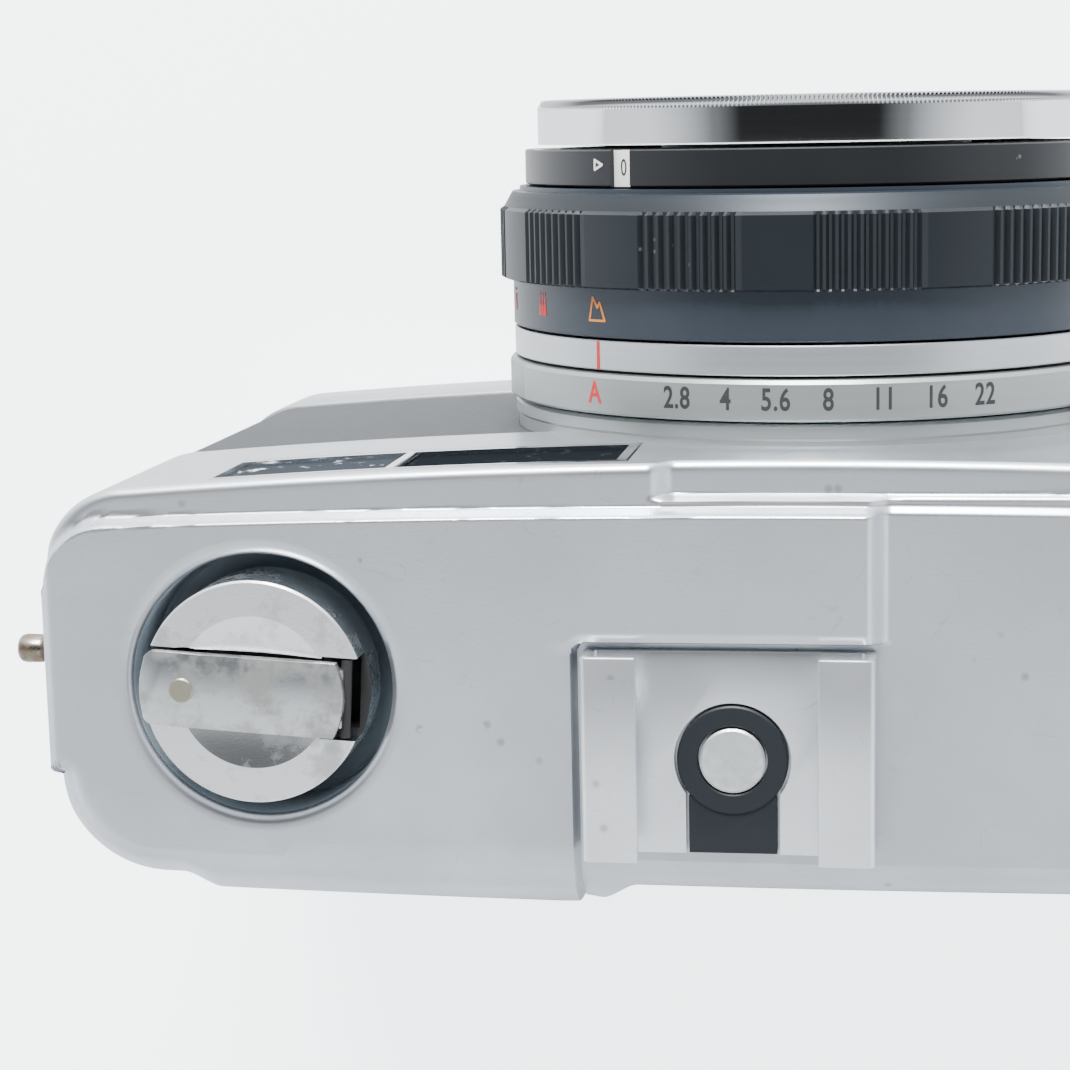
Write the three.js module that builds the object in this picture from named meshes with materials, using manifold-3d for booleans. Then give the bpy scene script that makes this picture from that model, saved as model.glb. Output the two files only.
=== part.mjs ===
// A half frame camera: pressed top and base covers over a casting, a hinged back, a zone-focus lens with a light cell
// ring round its front glass, a folding rewind crank, an accessory shoe and a film advance wheel.
// Millimetres. X is to the right seen from the front, Y runs from the lens to the back, Z is up.
// The solids are drawn from the middle of the body's depth; the finished group is moved back so that its origin is
// under the middle of the whole camera, lens included, on the surface it stands on.
import * as THREE from "three";
import { mergeVertices } from "three/addons/utils/BufferGeometryUtils.js";
import Module from "manifold-3d";

const wasm = await Module();
wasm.setup();

// Body plan
const HALF_LENGTH = 54;
const FRONT_Y = -15.9;
const REAR_Y = 15.2;
const FRONT_BOW = 1190;
const REAR_BOW = 3500;
const FRONT_CORNER = 6.5;
const REAR_CORNER = 8;

// Heights
const HIGH_PLATE = 63;
const LEDGE = 61.9;
const LOW_PLATE = 61.3;
const CHANNEL = 60.6;
const COVER_EDGE = 42.6;
const REAR_EDGE = 47.5;
const CASTING_TOP = 51;
const BASE_TOP = 10.6;
const BASE_REAR = 3.6;

// Lens
const LENS_Z = 29.2;
const BARREL_OUTER = 20.3;
const RING_BORE = 20.6;
const FLANGE_CUT = 24.1;
const LENS_SIDES = 36;
const BLADE_PIVOT = 9.6;

// Rewind side
const REWIND_X = 37.9;
const KNOB_RADIUS = 7.97;
const KNOB_TOP = 65;
const WELL_RADIUS = 9.45;
const WELL_FLOOR = 57;
const SHAFT_RADIUS = 2.4;
const CRANK_TURN = THREE.MathUtils.degToRad(-3.6);
const RIVET_X = REWIND_X + 4.9;
const CRANK_AXIS_X = REWIND_X - 6.6;
const CRANK_AXIS_Z = 64.6;
const CRANK_UNDER = 65.1;
const CRANK_TOP = 66;

// Accessory shoe
const SHOE_X = 4.7;
const SHOE_FRONT = -2.7;
const SHOE_REAR = 11.9;
const SHOE_FLOOR = 61.6;
const SHOE_GAP = 12.5;
const SHOE_SLOT = 18.9;
const SHOE_WIDTH = 20.3;
const CONTACT_X = 4.5;
const CONTACT_Y = 5.1;

// Finder windows
const WINDOW_LEFT = 11.9;
const WINDOW_RIGHT = 41.5;
const WINDOW_DIVIDER = 28.8;
const WINDOW_BOTTOM = 51.1;
const WINDOW_TOP = 60.3;
const BULGE_Y = 16.1;
const EYEPIECE_LEFT = 15.6;
const EYEPIECE_RIGHT = 25.4;
const EYEPIECE_Y = 15.2;

// Release, counter and film transport
const SCALE_WINDOW_WIDTH = 2;
const SCALE_WINDOW_ANGLE = 35.5;
const BUTTON_X = -34;
const BUTTON_Y = -5.5;
const COUNTER_X = -25.5;
const COUNTER_Y = 4.6;
const SPOOL_X = -38;
const SPOOL_Y = 6.4;
const WHEEL_RADIUS = 9.8;
const WHEEL_TEETH = 16;
const SPROCKET_TEETH = 24;
const GEAR_LEVEL = [51.4, 52.5];

// Back door
const DOOR_Y = 9;
const HINGE_X = -53.9;
const HINGE_Y = 8.2;
const DOOR_LEVEL = [3.9, 47.2];
const KNUCKLE_LEVELS = [[11, 14], [39, 42.2]];
const DOOR_KNUCKLE = [14.3, 38.7];

// Base fittings and strap lugs
const RELEASE_X = -14;
const RELEASE_Y = 4;
const SCREW_X = 47;
const LUG_Y = -1.1;
const LUG_Z = 56.4;

const NICKEL = { color: 0xc9ccd0, roughness: 0.38, metalness: 0.9 };
const SATIN = { color: 0xc4c7ca, roughness: 0.45, metalness: 0.8 };
const CHROME = { color: 0xe2e4e6, roughness: 0.12, metalness: 1 };
const DARK_METAL = { color: 0x34363b, roughness: 0.5, metalness: 0.6 };
const BLACK = { color: 0x15161a, roughness: 0.5, metalness: 0.1 };
const CASTING = { color: 0x3a3b3d, roughness: 0.7, metalness: 0.3 };
const COVERING = { color: 0x77797c, roughness: 0.75, metalness: 0 };
const GLASS = { color: 0xaebcc8, roughness: 0.05, metalness: 0 };
const BRASS = { color: 0xb29a62, roughness: 0.4, metalness: 0.9 };
const CREAM = { color: 0xd8d8d2, roughness: 0.5, metalness: 0.2 };

const DEPTH_SHIFT = 12.25;
const camera = new THREE.Group();
camera.position.y = DEPTH_SHIFT;

// ---------- shaping helpers ----------

function solid(geometry) {
  const bare = geometry.clone();
  bare.deleteAttribute("normal");
  bare.deleteAttribute("uv");
  const merged = mergeVertices(bare, 1e-4);
  const vertProperties = merged.attributes.position.array;
  const triVerts = new Uint32Array(merged.index.array);
  return new wasm.Manifold(new wasm.Mesh({ numProp: 3, vertProperties, triVerts }));
}

function addPart(name, shape, look) {
  const { numProp, vertProperties, triVerts } = shape.getMesh();
  const geometry = new THREE.BufferGeometry();
  const position = new Float32Array((vertProperties.length / numProp) * 3);
  for (let i = 0; i < position.length / 3; i += 1) {
    position.set(vertProperties.slice(i * numProp, i * numProp + 3), i * 3);
  }
  geometry.setAttribute("position", new THREE.BufferAttribute(position, 3));
  geometry.setIndex(new THREE.BufferAttribute(new Uint32Array(triVerts), 1));
  geometry.computeVertexNormals();
  const mesh = new THREE.Mesh(geometry, new THREE.MeshStandardMaterial(look));
  mesh.name = name;
  camera.add(mesh);
}

function block([x0, x1], [y0, y1], [z0, z1]) {
  const geometry = new THREE.BoxGeometry(x1 - x0, y1 - y0, z1 - z0);
  geometry.translate((x0 + x1) / 2, (y0 + y1) / 2, (z0 + z1) / 2);
  return solid(geometry);
}

// An upright cylinder.
function rod(radius, x, y, [z0, z1], sides = 32) {
  const geometry = new THREE.CylinderGeometry(radius, radius, z1 - z0, sides);
  geometry.rotateX(Math.PI / 2);
  geometry.translate(x, y, (z0 + z1) / 2);
  return solid(geometry);
}

// A profile of [radius, height] pairs, turned round; its outline closes on the axis or on itself.
function turned(profile, sides) {
  const points = profile.map(([r, h]) => new THREE.Vector2(r, h));
  const hollow = profile.every(([r]) => r > 0);
  if (hollow) points.push(points[0].clone());
  if (THREE.ShapeUtils.area(points) < 0) points.reverse();
  return new THREE.LatheGeometry(points, sides);
}

function turnedUpright(profile, x, y, sides = 32) {
  const geometry = turned(profile, sides);
  geometry.rotateX(Math.PI / 2);
  geometry.translate(x, y, 0);
  return solid(geometry);
}

// Turned about the lens axis: the heights are Y positions.
function turnedOnLens(profile, sides = LENS_SIDES) {
  const geometry = turned(profile, sides);
  geometry.translate(0, 0, LENS_Z);
  return solid(geometry);
}

function lensTube(outer, inner, [y0, y1], sides = LENS_SIDES) {
  return turnedOnLens([[inner, y0], [outer, y0], [outer, y1], [inner, y1]], sides);
}

function lensRod(radius, [y0, y1], sides = LENS_SIDES) {
  return turnedOnLens([[0, y0], [radius, y0], [radius, y1], [0, y1]], sides);
}

function extruded(points, depth) {
  const shape = new THREE.Shape(points.map(([a, b]) => new THREE.Vector2(a, b)));
  return new THREE.ExtrudeGeometry(shape, { depth, bevelEnabled: false });
}

// A plan outline given as [x, y], raised from z0 to z1.
function raised(points, [z0, z1]) {
  const geometry = extruded(points, z1 - z0);
  geometry.translate(0, 0, z0);
  return solid(geometry);
}

// A section given as [x, z], run from y0 to y1.
function runAlongY(points, [y0, y1]) {
  const geometry = extruded(points, y1 - y0);
  geometry.rotateX(Math.PI / 2);
  geometry.translate(0, y1, 0);
  return solid(geometry);
}

// A section given as [y, z], run from x0 to x1.
function runAlongX(points, [x0, x1]) {
  const geometry = extruded(points, x1 - x0);
  const basis = new THREE.Matrix4().makeBasis(
    new THREE.Vector3(0, 1, 0),
    new THREE.Vector3(0, 0, 1),
    new THREE.Vector3(1, 0, 0),
  );
  geometry.applyMatrix4(basis);
  geometry.translate(x0, 0, 0);
  return solid(geometry);
}

function arc(cx, cy, radius, from, to, steps) {
  const points = [];
  for (let i = 0; i <= steps; i += 1) {
    const angle = THREE.MathUtils.degToRad(from + ((to - from) * i) / steps);
    points.push([cx + radius * Math.cos(angle), cy + radius * Math.sin(angle)]);
  }
  return points;
}

const grow = ([a, b], by) => [a - by, b + by];

// ---------- the body's plan ----------

const frontLine = (x) => FRONT_Y + (x * x) / FRONT_BOW;
const rearLine = (x) => REAR_Y - (x * x) / REAR_BOW;

// The plan outline: bowed front and rear, round ends, drawn in by an inset all round.
function plan(inset) {
  const frontX = HALF_LENGTH - FRONT_CORNER;
  const rearX = HALF_LENGTH - REAR_CORNER;
  const frontCorner = frontLine(frontX) + FRONT_CORNER;
  const rearCorner = rearLine(rearX) - REAR_CORNER;
  const points = [];
  for (let i = -4; i <= 4; i += 1) {
    const x = (frontX * i) / 5;
    points.push([x, frontLine(x) + inset]);
  }
  points.push(...arc(frontX, frontCorner, FRONT_CORNER - inset, -88, 0, 6));
  points.push(...arc(rearX, rearCorner, REAR_CORNER - inset, 0, 88, 6));
  for (let i = 4; i >= -4; i -= 1) {
    const x = (rearX * i) / 5;
    points.push([x, rearLine(x) - inset]);
  }
  points.push(...arc(-rearX, rearCorner, REAR_CORNER - inset, 92, 180, 6));
  points.push(...arc(-frontX, frontCorner, FRONT_CORNER - inset, 180, 268, 6));
  return points;
}

// The wall between two insets of the plan.
function wall(outer, inner, [z0, z1]) {
  return raised(plan(outer), [z0, z1]).subtract(raised(plan(inner), [z0 - 1, z1 + 1]));
}

const everyX = [-70, 70];
const everyZ = [-5, 80];

// ---------- casting ----------

function bodyCasting() {
  const inset = 1.4;
  const railPlane = 9.4;
  const full = raised(plan(inset), [2, CASTING_TOP]);
  let casting = full
    .intersect(block(everyX, [-40, 8.7], everyZ))
    .add(full.intersect(block([-49, 49], [-40, railPlane], everyZ)))
    .add(full.intersect(block(everyX, [-40, 40], [REAR_EDGE + 0.1, 80])))
    .add(full.intersect(block(everyX, [-40, 40], [0, BASE_REAR - 0.3])));
  for (const level of KNUCKLE_LEVELS) {
    casting = casting
      .add(rod(1.5, HINGE_X, HINGE_Y, level, 20))
      .add(block([HINGE_X, -50], [HINGE_Y - 1.3, HINGE_Y + 0.4], level));
  }
  // The cartridge chamber, the take-up chamber and the film gate, all open at the back.
  casting = casting
    .subtract(rod(12.8, REWIND_X, 0.2, [4.6, 49.2], 28))
    .subtract(block([REWIND_X - 12.8, REWIND_X + 12.8], [0.2, 30], [4.6, REAR_EDGE - 0.2]))
    .subtract(block([-49.4, -18.6], [-9.5, 30], [4.6, REAR_EDGE - 0.2]))
    .subtract(block([-9, 9], [-30, 30], [LENS_Z - 12, LENS_Z + 12]))
    .subtract(lensRod(18.8, [-30, -3]))
    .subtract(lensRod(FLANGE_CUT, [-30, -13.2]))
    .subtract(rod(SHAFT_RADIUS + 0.3, REWIND_X, 0, [40, 60], 24))
    .subtract(rod(2.3, SPOOL_X, SPOOL_Y, [1, 60], 24))
    .subtract(rod(2.3, COUNTER_X, COUNTER_Y, [1, 60], 24))
    .subtract(rod(1.8, HINGE_X, HINGE_Y, grow(DOOR_KNUCKLE, 0.2), 20))
    .subtract(rod(0.95, HINGE_X, HINGE_Y, [5, 46], 12))
    .subtract(rod(7, 0, 0, [0, 7], 24))
    .subtract(rod(2.9, RELEASE_X, RELEASE_Y, [0, 7], 24));
  for (const side of [-1, 1]) {
    casting = casting.subtract(rod(1.4, side * SCREW_X, 0, [0, 4.5], 16));
  }
  return casting;
}

// ---------- covers ----------

// The raised deck, set back from the front so that a ledge runs along above the windows.
function deckPlan() {
  const radius = 5.2;
  const cornerX = HALF_LENGTH + 0.1 - radius;
  const edge = (x) => -12.75 + (x * x) / 2600;
  const cornerY = edge(cornerX) + radius;
  const points = [];
  for (let i = -5; i <= 5; i += 1) {
    const x = (cornerX * i) / 6;
    points.push([x, edge(x)]);
  }
  points.push(...arc(cornerX, cornerY, radius, -88, 0, 6));
  points.push([60, 20], [-60, 20]);
  points.push(...arc(-cornerX, cornerY, radius, 180, 268, 6));
  return points;
}

function topCover() {
  const bulge = [[12.6, 10], [13.2, 15], [16.1, BULGE_Y], [31, BULGE_Y], [43, 14.8], [43, 10]];
  const above = 70;
  let cover = raised(plan(0), [COVER_EDGE, HIGH_PLATE]).add(raised(bulge, [REAR_EDGE, HIGH_PLATE]));
  // Steps of the upper side.
  const ledgeCut = block(everyX, [-30, 30], [LEDGE, above]).subtract(raised(deckPlan(), [50, above]));
  const lowCut = [[-4.8, HIGH_PLATE], [-6.2, LOW_PLATE], [-70, LOW_PLATE], [-70, above], [-4.8, above]];
  cover = cover
    .subtract(ledgeCut)
    .subtract(block([-70, 8.6], [-30, -13.3], [CHANNEL, above]))
    .subtract(runAlongY(lowCut.toReversed(), [-40, 40]))
    .subtract(block([-6, 15.6], [SHOE_FRONT - 0.6, 12.4], [LOW_PLATE, above]));
  // Sloped shoulder along the rear edge.
  const highShoulder = [[12.4, HIGH_PLATE], [16.6, 59.9], [30, 59.9], [30, above], [12.4, above]];
  const lowShoulder = [[11.9, LOW_PLATE], [15.6, 59.1], [30, 59.1], [30, above], [11.9, above]];
  cover = cover
    .subtract(runAlongX(highShoulder, [15.6, 70]))
    .subtract(runAlongX(lowShoulder, [-70, 15.6]));
  // Hollow underside, then the well and the openings.
  const roof = 60;
  cover = cover
    .subtract(raised(plan(1.2), [0, roof - 1.6]))
    .subtract(raised(plan(4.4), [40, roof]))
    .subtract(block(everyX, [8.6, 40], [0, REAR_EDGE]))
    .add(rod(WELL_RADIUS + 0.9, REWIND_X, 0, [WELL_FLOOR - 1, roof + 1]))
    .subtract(rod(WELL_RADIUS, REWIND_X, 0, [WELL_FLOOR, above]))
    .subtract(rod(SHAFT_RADIUS + 0.3, REWIND_X, 0, [50, above], 24))
    .subtract(block([WINDOW_LEFT - 0.2, WINDOW_RIGHT + 0.2], [-20, -10.6], [WINDOW_BOTTOM - 0.2, WINDOW_TOP + 0.2]))
    .subtract(block([16.4, 24.6], [11, 20], [53.2, 58.6]))
    .subtract(block([EYEPIECE_LEFT - 0.2, EYEPIECE_RIGHT + 0.2], [EYEPIECE_Y - 0.2, 20], [51.9, 59.1]))
    .subtract(block([SPOOL_X - 10.4, SPOOL_X + 10.4], [8, 20], [52.7, 55.9]))
    .subtract(rod(4.6, BUTTON_X, BUTTON_Y, [55, above], 24))
    .subtract(rod(4.5, COUNTER_X, COUNTER_Y, [55, above], 24))
    .subtract(lensRod(FLANGE_CUT, [-30, -13]));
  for (const side of [-1, 1]) {
    cover = cover.subtract(alongX(0.8, [side * 50, side * 56], LUG_Y, LUG_Z, 16));
  }
  return cover;
}

function alongX(radius, [x0, x1], y, z, sides = 24) {
  const geometry = new THREE.CylinderGeometry(radius, radius, Math.abs(x1 - x0), sides);
  geometry.rotateZ(Math.PI / 2);
  geometry.translate((x0 + x1) / 2, y, z);
  return solid(geometry);
}

function baseCover() {
  let cover = raised(plan(0), [0, BASE_TOP])
    .subtract(raised(plan(1), [1.4, 30]))
    .subtract(block(everyX, [8.6, 40], [BASE_REAR, 40]))
    .subtract(lensRod(FLANGE_CUT, [-30, -13]))
    .subtract(rod(6.7, 0, 0, [-1, 4], 32))
    .subtract(rod(2.8, RELEASE_X, RELEASE_Y, [-1, 4], 24));
  for (const side of [-1, 1]) {
    cover = cover
      .subtract(rod(1.4, side * SCREW_X, 0, [-1, 4], 16))
      .subtract(rod(2.5, side * SCREW_X, 0, [-1, 0.9], 20));
  }
  return cover;
}

addPart("body_casting", bodyCasting(), CASTING);
addPart("top_cover", topCover(), SATIN);
addPart("base_cover", baseCover(), SATIN);

// ---------- covering ----------

function frontSkin(side) {
  const keep = side > 0 ? [0, 70] : [-70, 0];
  const wrap = side > 0 ? 8.3 : 6.4;
  return wall(0.3, 1.1, [BASE_TOP + 0.2, COVER_EDGE - 0.2])
    .intersect(block(keep, [-40, wrap], everyZ))
    .subtract(lensRod(FLANGE_CUT, [-30, 0]));
}

const latchSlot = block([50, 60], [5, 7.2], [22, 32]);
addPart("front_skin_right", frontSkin(1).subtract(latchSlot), COVERING);
addPart("front_skin_left", frontSkin(-1), COVERING);

// ---------- back door ----------

function backDoor() {
  const leaf = block([-54.7, -53], [HINGE_Y, DOOR_Y + 1.4], DOOR_KNUCKLE)
    .add(block([-53.5, -51.8], [DOOR_Y + 0.1, DOOR_Y + 1.4], DOOR_KNUCKLE));
  return wall(1.1, 2.3, DOOR_LEVEL)
    .intersect(block(everyX, [DOOR_Y, 40], everyZ))
    .subtract(rod(1.8, HINGE_X, HINGE_Y, grow(KNUCKLE_LEVELS[0], 0.3), 20))
    .subtract(rod(1.8, HINGE_X, HINGE_Y, grow(KNUCKLE_LEVELS[1], 0.3), 20))
    .add(leaf)
    .add(rod(1.5, HINGE_X, HINGE_Y, DOOR_KNUCKLE, 20))
    .subtract(rod(0.95, HINGE_X, HINGE_Y, [5, 46], 12));
}

addPart("back_door", backDoor(), DARK_METAL);
const doorSkinLevel = [DOOR_LEVEL[0] + 0.4, DOOR_LEVEL[1] - 0.4];
const doorSkin = wall(0.2, 0.9, doorSkinLevel).intersect(block([-51, 53], [DOOR_Y + 0.2, 40], everyZ));
addPart("back_door_skin", doorSkin, COVERING);
addPart("door_hinge_pin", rod(0.8, HINGE_X, HINGE_Y, [11.1, 42], 12), CHROME);
addPart("pressure_plate", block([-17, 17], [9.7, 10.4], [12, 46.4]), DARK_METAL);

function pressureSpring() {
  const leaf = [[-14, 10.7], [0, 11.3], [14, 10.7], [14, 11], [3, 11.6], [-3, 11.6], [-14, 11]];
  return raised(leaf, [24, 34]);
}

addPart("pressure_spring", pressureSpring(), BRASS);
const latch = block([54, 55.2], [4.6, 7.6], [22, 30]).add(block([52.9, 54.2], [5.4, 6.8], [24, 26]));
addPart("door_latch", latch, NICKEL);

// ---------- lens ----------

addPart("lens_base_plate", lensTube(23.8, 18.8, [-16, -13.5]), DARK_METAL);
addPart("lens_base_collar", lensTube(24.3, RING_BORE, [-17.4, -16.2]), SATIN);
addPart("lens_barrel", lensTube(BARREL_OUTER, 18.9, [-37, -16.3]), DARK_METAL);
addPart("aperture_ring", lensTube(24.72, RING_BORE, [-20.65, -17.6]), SATIN);
addPart("index_ring", lensTube(24.3, RING_BORE, [-23.05, -20.85]), SATIN);

// The focus ring: a plain sleeve, then a stepped-out grip with a chamfered front edge.
const focusProfile = [
  [RING_BORE, -23.25], [24.35, -23.25], [24.35, -27.1], [25.3, -27.1],
  [25.3, -32.35], [24.3, -33.75], [23.7, -33.75], [23.7, -34.1], [RING_BORE, -34.1],
];
addPart("focus_ring", turnedOnLens(focusProfile), DARK_METAL);

const scaleWindow = new THREE.BoxGeometry(SCALE_WINDOW_WIDTH, 1.9, 8);
scaleWindow.translate(0, -35.6, 24);
scaleWindow.rotateY(THREE.MathUtils.degToRad(SCALE_WINDOW_ANGLE));
scaleWindow.translate(0, 0, LENS_Z);
const speedRing = lensTube(23.2, 22.1, [-36.95, -34.25]).subtract(solid(scaleWindow));
addPart("film_speed_ring", speedRing, BLACK);
addPart("film_speed_scale", lensTube(21.8, RING_BORE, [-36.8, -34.4]), CREAM);

const filterProfile = [
  [RING_BORE, -37.25], [22.15, -37.25], [22.15, -39.9], [21.9, -40.7],
  [21.45, -40.7], [21.45, -38.6], [RING_BORE, -38.6],
];
addPart("filter_ring", turnedOnLens(filterProfile), CHROME);
addPart("cell_window", lensTube(20.4, 12.6, [-38.3, -37.2]), GLASS);
addPart("light_cell", lensTube(18.6, 10, [-36.6, -36], 28), BRASS);
const nameProfile = [[8.7, -37.5], [12.3, -38.4], [12.3, -36.9], [8.7, -36.9]];
addPart("name_ring", turnedOnLens(nameProfile), BLACK);

const cellProfile = [[6.3, -23.6], [8.3, -23.6], [8.3, -37.2], [7.4, -37.2], [7.4, -33.6], [6.3, -33.6]];
addPart("lens_cell", turnedOnLens(cellProfile, 28), BLACK);

// A glass with spherical faces: each bow is the face's height over its edge.
function glass(radius, [back, front], backBow, frontBow) {
  const steps = 3;
  const profile = [];
  for (let i = 0; i <= steps; i += 1) {
    const r = (radius * i) / steps;
    profile.push([r, back + backBow * (1 - (r / radius) ** 2)]);
  }
  for (let i = steps; i >= 0; i -= 1) {
    const r = (radius * i) / steps;
    profile.push([r, front - frontBow * (1 - (r / radius) ** 2)]);
  }
  return turnedOnLens(profile, 24);
}

addPart("front_element", glass(7.1, [-33.9, -35.8], -0.4, 1.1), GLASS);
addPart("middle_element", glass(6, [-29, -30.4], -0.5, -0.4), GLASS);
addPart("rear_element", glass(5.2, [-17, -19.4], 0.7, 0.2), GLASS);

const housingProfile = [
  [5.5, -14.9], [18.5, -14.9], [18.5, -30], [8.7, -30], [8.7, -23.3],
  [14.6, -23.3], [14.6, -21.6], [5.5, -21.6],
];
addPart("shutter_housing", turnedOnLens(housingProfile, 32), DARK_METAL);

// One shutter blade: a half disc on an arm that swings from a pivot above the aperture.
function shutterBlade(side, [y0, y1]) {
  const half = arc(0, 0, 6.6, -90, 90, 10).map(([x, z]) => [side * (x - 0.6), z + LENS_Z]);
  const outline = side > 0 ? half : half.toReversed();
  const armX = [side * 2.6 - 1, side * 2.6 + 1];
  const arm = block(armX, [y0, y1], [LENS_Z + 3, LENS_Z + BLADE_PIVOT]);
  const boss = new THREE.CylinderGeometry(1.2, 1.2, y1 - y0, 16);
  boss.translate(side * 2.6, (y0 + y1) / 2, LENS_Z + BLADE_PIVOT);
  return runAlongY(outline, [y0, y1]).add(arm).add(solid(boss));
}

addPart("shutter_blade_right", shutterBlade(1, [-22.2, -21.95]), BLACK);
addPart("shutter_blade_left", shutterBlade(-1, [-22.8, -22.55]), BLACK);

// ---------- rewind ----------

// Turns a solid about the rewind shaft, as the crank rests a little off the camera's long axis.
function onCrankLine(geometry) {
  geometry.translate(-REWIND_X, 0, 0);
  geometry.rotateZ(CRANK_TURN);
  geometry.translate(REWIND_X, 0, 0);
  return solid(geometry);
}

function crankBlock([x0, x1], [y0, y1], [z0, z1]) {
  const geometry = new THREE.BoxGeometry(x1 - x0, y1 - y0, z1 - z0);
  geometry.translate((x0 + x1) / 2, (y0 + y1) / 2, (z0 + z1) / 2);
  return onCrankLine(geometry);
}

function crankRod(radius, x, [z0, z1], sides = 20) {
  const geometry = new THREE.CylinderGeometry(radius, radius, z1 - z0, sides);
  geometry.rotateX(Math.PI / 2);
  geometry.translate(x, 0, (z0 + z1) / 2);
  return onCrankLine(geometry);
}

function rewindKnob() {
  const profile = [
    [0, 58.3], [6.9, 58.3], [KNOB_RADIUS, 59.6], [KNOB_RADIUS, KNOB_TOP - 0.15], [KNOB_RADIUS - 0.15, KNOB_TOP],
    [5.4, KNOB_TOP], [5.1, KNOB_TOP - 0.8], [0, KNOB_TOP - 0.9],
  ];
  const rootNotch = [[REWIND_X - 9, CRANK_AXIS_X + 1.7], [-2.95, 2.95], [63.1, 67]];
  return turnedUpright(profile, REWIND_X, 0, 32)
    .subtract(crankBlock(...rootNotch))
    .subtract(crankRod(2.9, RIVET_X, [61.6, 67], 24))
    .subtract(rod(1.4, REWIND_X, 0, [58, 61], 20));
}

function rewindCrank() {
  const tip = arc(RIVET_X - 0.6, 0, 3.6, -47, 47, 6).map(([x, y]) => [x, y]);
  const outline = [[CRANK_AXIS_X - 0.5, -2.65], ...tip, [CRANK_AXIS_X - 0.5, 2.65]];
  const geometry = extruded(outline, CRANK_TOP - CRANK_UNDER);
  geometry.translate(0, 0, CRANK_UNDER);
  const rootEar = crankBlock([CRANK_AXIS_X - 0.5, CRANK_AXIS_X + 0.9], [-2.1, 2.1], [63.95, CRANK_UNDER + 0.1]);
  const pinHole = new THREE.CylinderGeometry(0.55, 0.55, 8, 16);
  pinHole.translate(CRANK_AXIS_X, 0, CRANK_AXIS_Z);
  return onCrankLine(geometry)
    .add(rootEar)
    .subtract(onCrankLine(pinHole))
    .subtract(crankRod(0.95, RIVET_X, [60, 68]));
}

function crankPin() {
  const geometry = new THREE.CylinderGeometry(0.4, 0.4, 5.6, 12);
  geometry.translate(CRANK_AXIS_X, 0, CRANK_AXIS_Z);
  return onCrankLine(geometry);
}

function fingerKnob() {
  return crankRod(0.8, RIVET_X, [62.5, CRANK_TOP + 0.05]).add(crankRod(2.3, RIVET_X, [62, CRANK_UNDER - 0.2], 24));
}

function rewindShaft() {
  return rod(SHAFT_RADIUS, REWIND_X, 0, [44, 58.1], 24)
    .add(rod(1.2, REWIND_X, 0, [58, 60.8], 20))
    .subtract(block([REWIND_X - 4, REWIND_X + 4], [-0.8, 0.8], [43, 47.5]));
}

addPart("rewind_knob", rewindKnob(), NICKEL);
addPart("rewind_crank", rewindCrank(), NICKEL);
addPart("crank_finger_knob", fingerKnob(), BRASS);
addPart("crank_pin", crankPin(), CHROME);
addPart("rewind_shaft", rewindShaft(), CHROME);
const bushProfile = [[SHAFT_RADIUS + 0.3, 57.2], [4.2, 57.2], [4.2, 57.9], [SHAFT_RADIUS + 0.3, 57.9]];
addPart("rewind_bush", turnedUpright(bushProfile, REWIND_X, 0, 24), BRASS);

// ---------- accessory shoe ----------

function accessoryShoe() {
  const half = SHOE_WIDTH / 2;
  const inner = SHOE_SLOT / 2;
  const lip = SHOE_GAP / 2;
  const floorTop = SHOE_FLOOR + 0.45;
  const lipUnder = floorTop + 2.1;
  const lipTop = lipUnder + 0.6;
  const section = [
    [-half, SHOE_FLOOR], [half, SHOE_FLOOR], [half, lipTop], [lip, lipTop], [lip, lipUnder], [inner, lipUnder],
    [inner, floorTop], [-inner, floorTop], [-inner, lipUnder], [-lip, lipUnder], [-lip, lipTop], [-half, lipTop],
  ];
  const placed = section.map(([x, z]) => [x + SHOE_X, z]);
  return runAlongY(placed, [SHOE_FRONT, SHOE_REAR])
    .subtract(rod(4.1, CONTACT_X, CONTACT_Y, [60, 63], 32))
    .subtract(block([CONTACT_X - 3.3, CONTACT_X + 3.3], [CONTACT_Y, 20], [60, 63]));
}

const insulatorLevel = [SHOE_FLOOR - 0.05, SHOE_FLOOR + 0.5];
const insulator = rod(3.9, CONTACT_X, CONTACT_Y, insulatorLevel, 32)
  .add(block([CONTACT_X - 3.1, CONTACT_X + 3.1], [CONTACT_Y, SHOE_REAR - 0.1], insulatorLevel))
  .subtract(rod(2.45, CONTACT_X, CONTACT_Y, [60, 63], 28));
addPart("accessory_shoe", accessoryShoe(), NICKEL);
addPart("shoe_insulator", insulator, BLACK);
addPart("shoe_contact", rod(2.3, CONTACT_X, CONTACT_Y, [SHOE_FLOOR - 0.05, SHOE_FLOOR + 0.7], 28), NICKEL);

// ---------- release button and counter ----------

const collarProfile = [[4.6, LOW_PLATE + 0.1], [6, LOW_PLATE + 0.1], [5.7, LOW_PLATE + 1.2], [4.6, LOW_PLATE + 1.2]];
addPart("button_collar", turnedUpright(collarProfile, BUTTON_X, BUTTON_Y, 24), CHROME);

const buttonProfile = [
  [0, 53.4], [1.3, 53.4], [1.3, 59.6], [4.2, 59.6], [4.2, 63.4], [3.8, 63.8], [1.3, 63.5], [0.8, 62.6], [0, 62.6],
];
addPart("shutter_button", turnedUpright(buttonProfile, BUTTON_X, BUTTON_Y, 20), CHROME);

function buttonSpring() {
  class Helix extends THREE.Curve {
    getPoint(t) {
      const angle = t * Math.PI * 2 * 3;
      return new THREE.Vector3(BUTTON_X + 2.1 * Math.cos(angle), BUTTON_Y + 2.1 * Math.sin(angle), 54 + t * 4.9);
    }
  }
  const wire = new THREE.Shape();
  wire.absarc(0, 0, 0.22, 0, Math.PI * 2);
  const options = { steps: 32, curveSegments: 2, extrudePath: new Helix(), bevelEnabled: false };
  return solid(new THREE.ExtrudeGeometry(wire, options));
}

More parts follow.
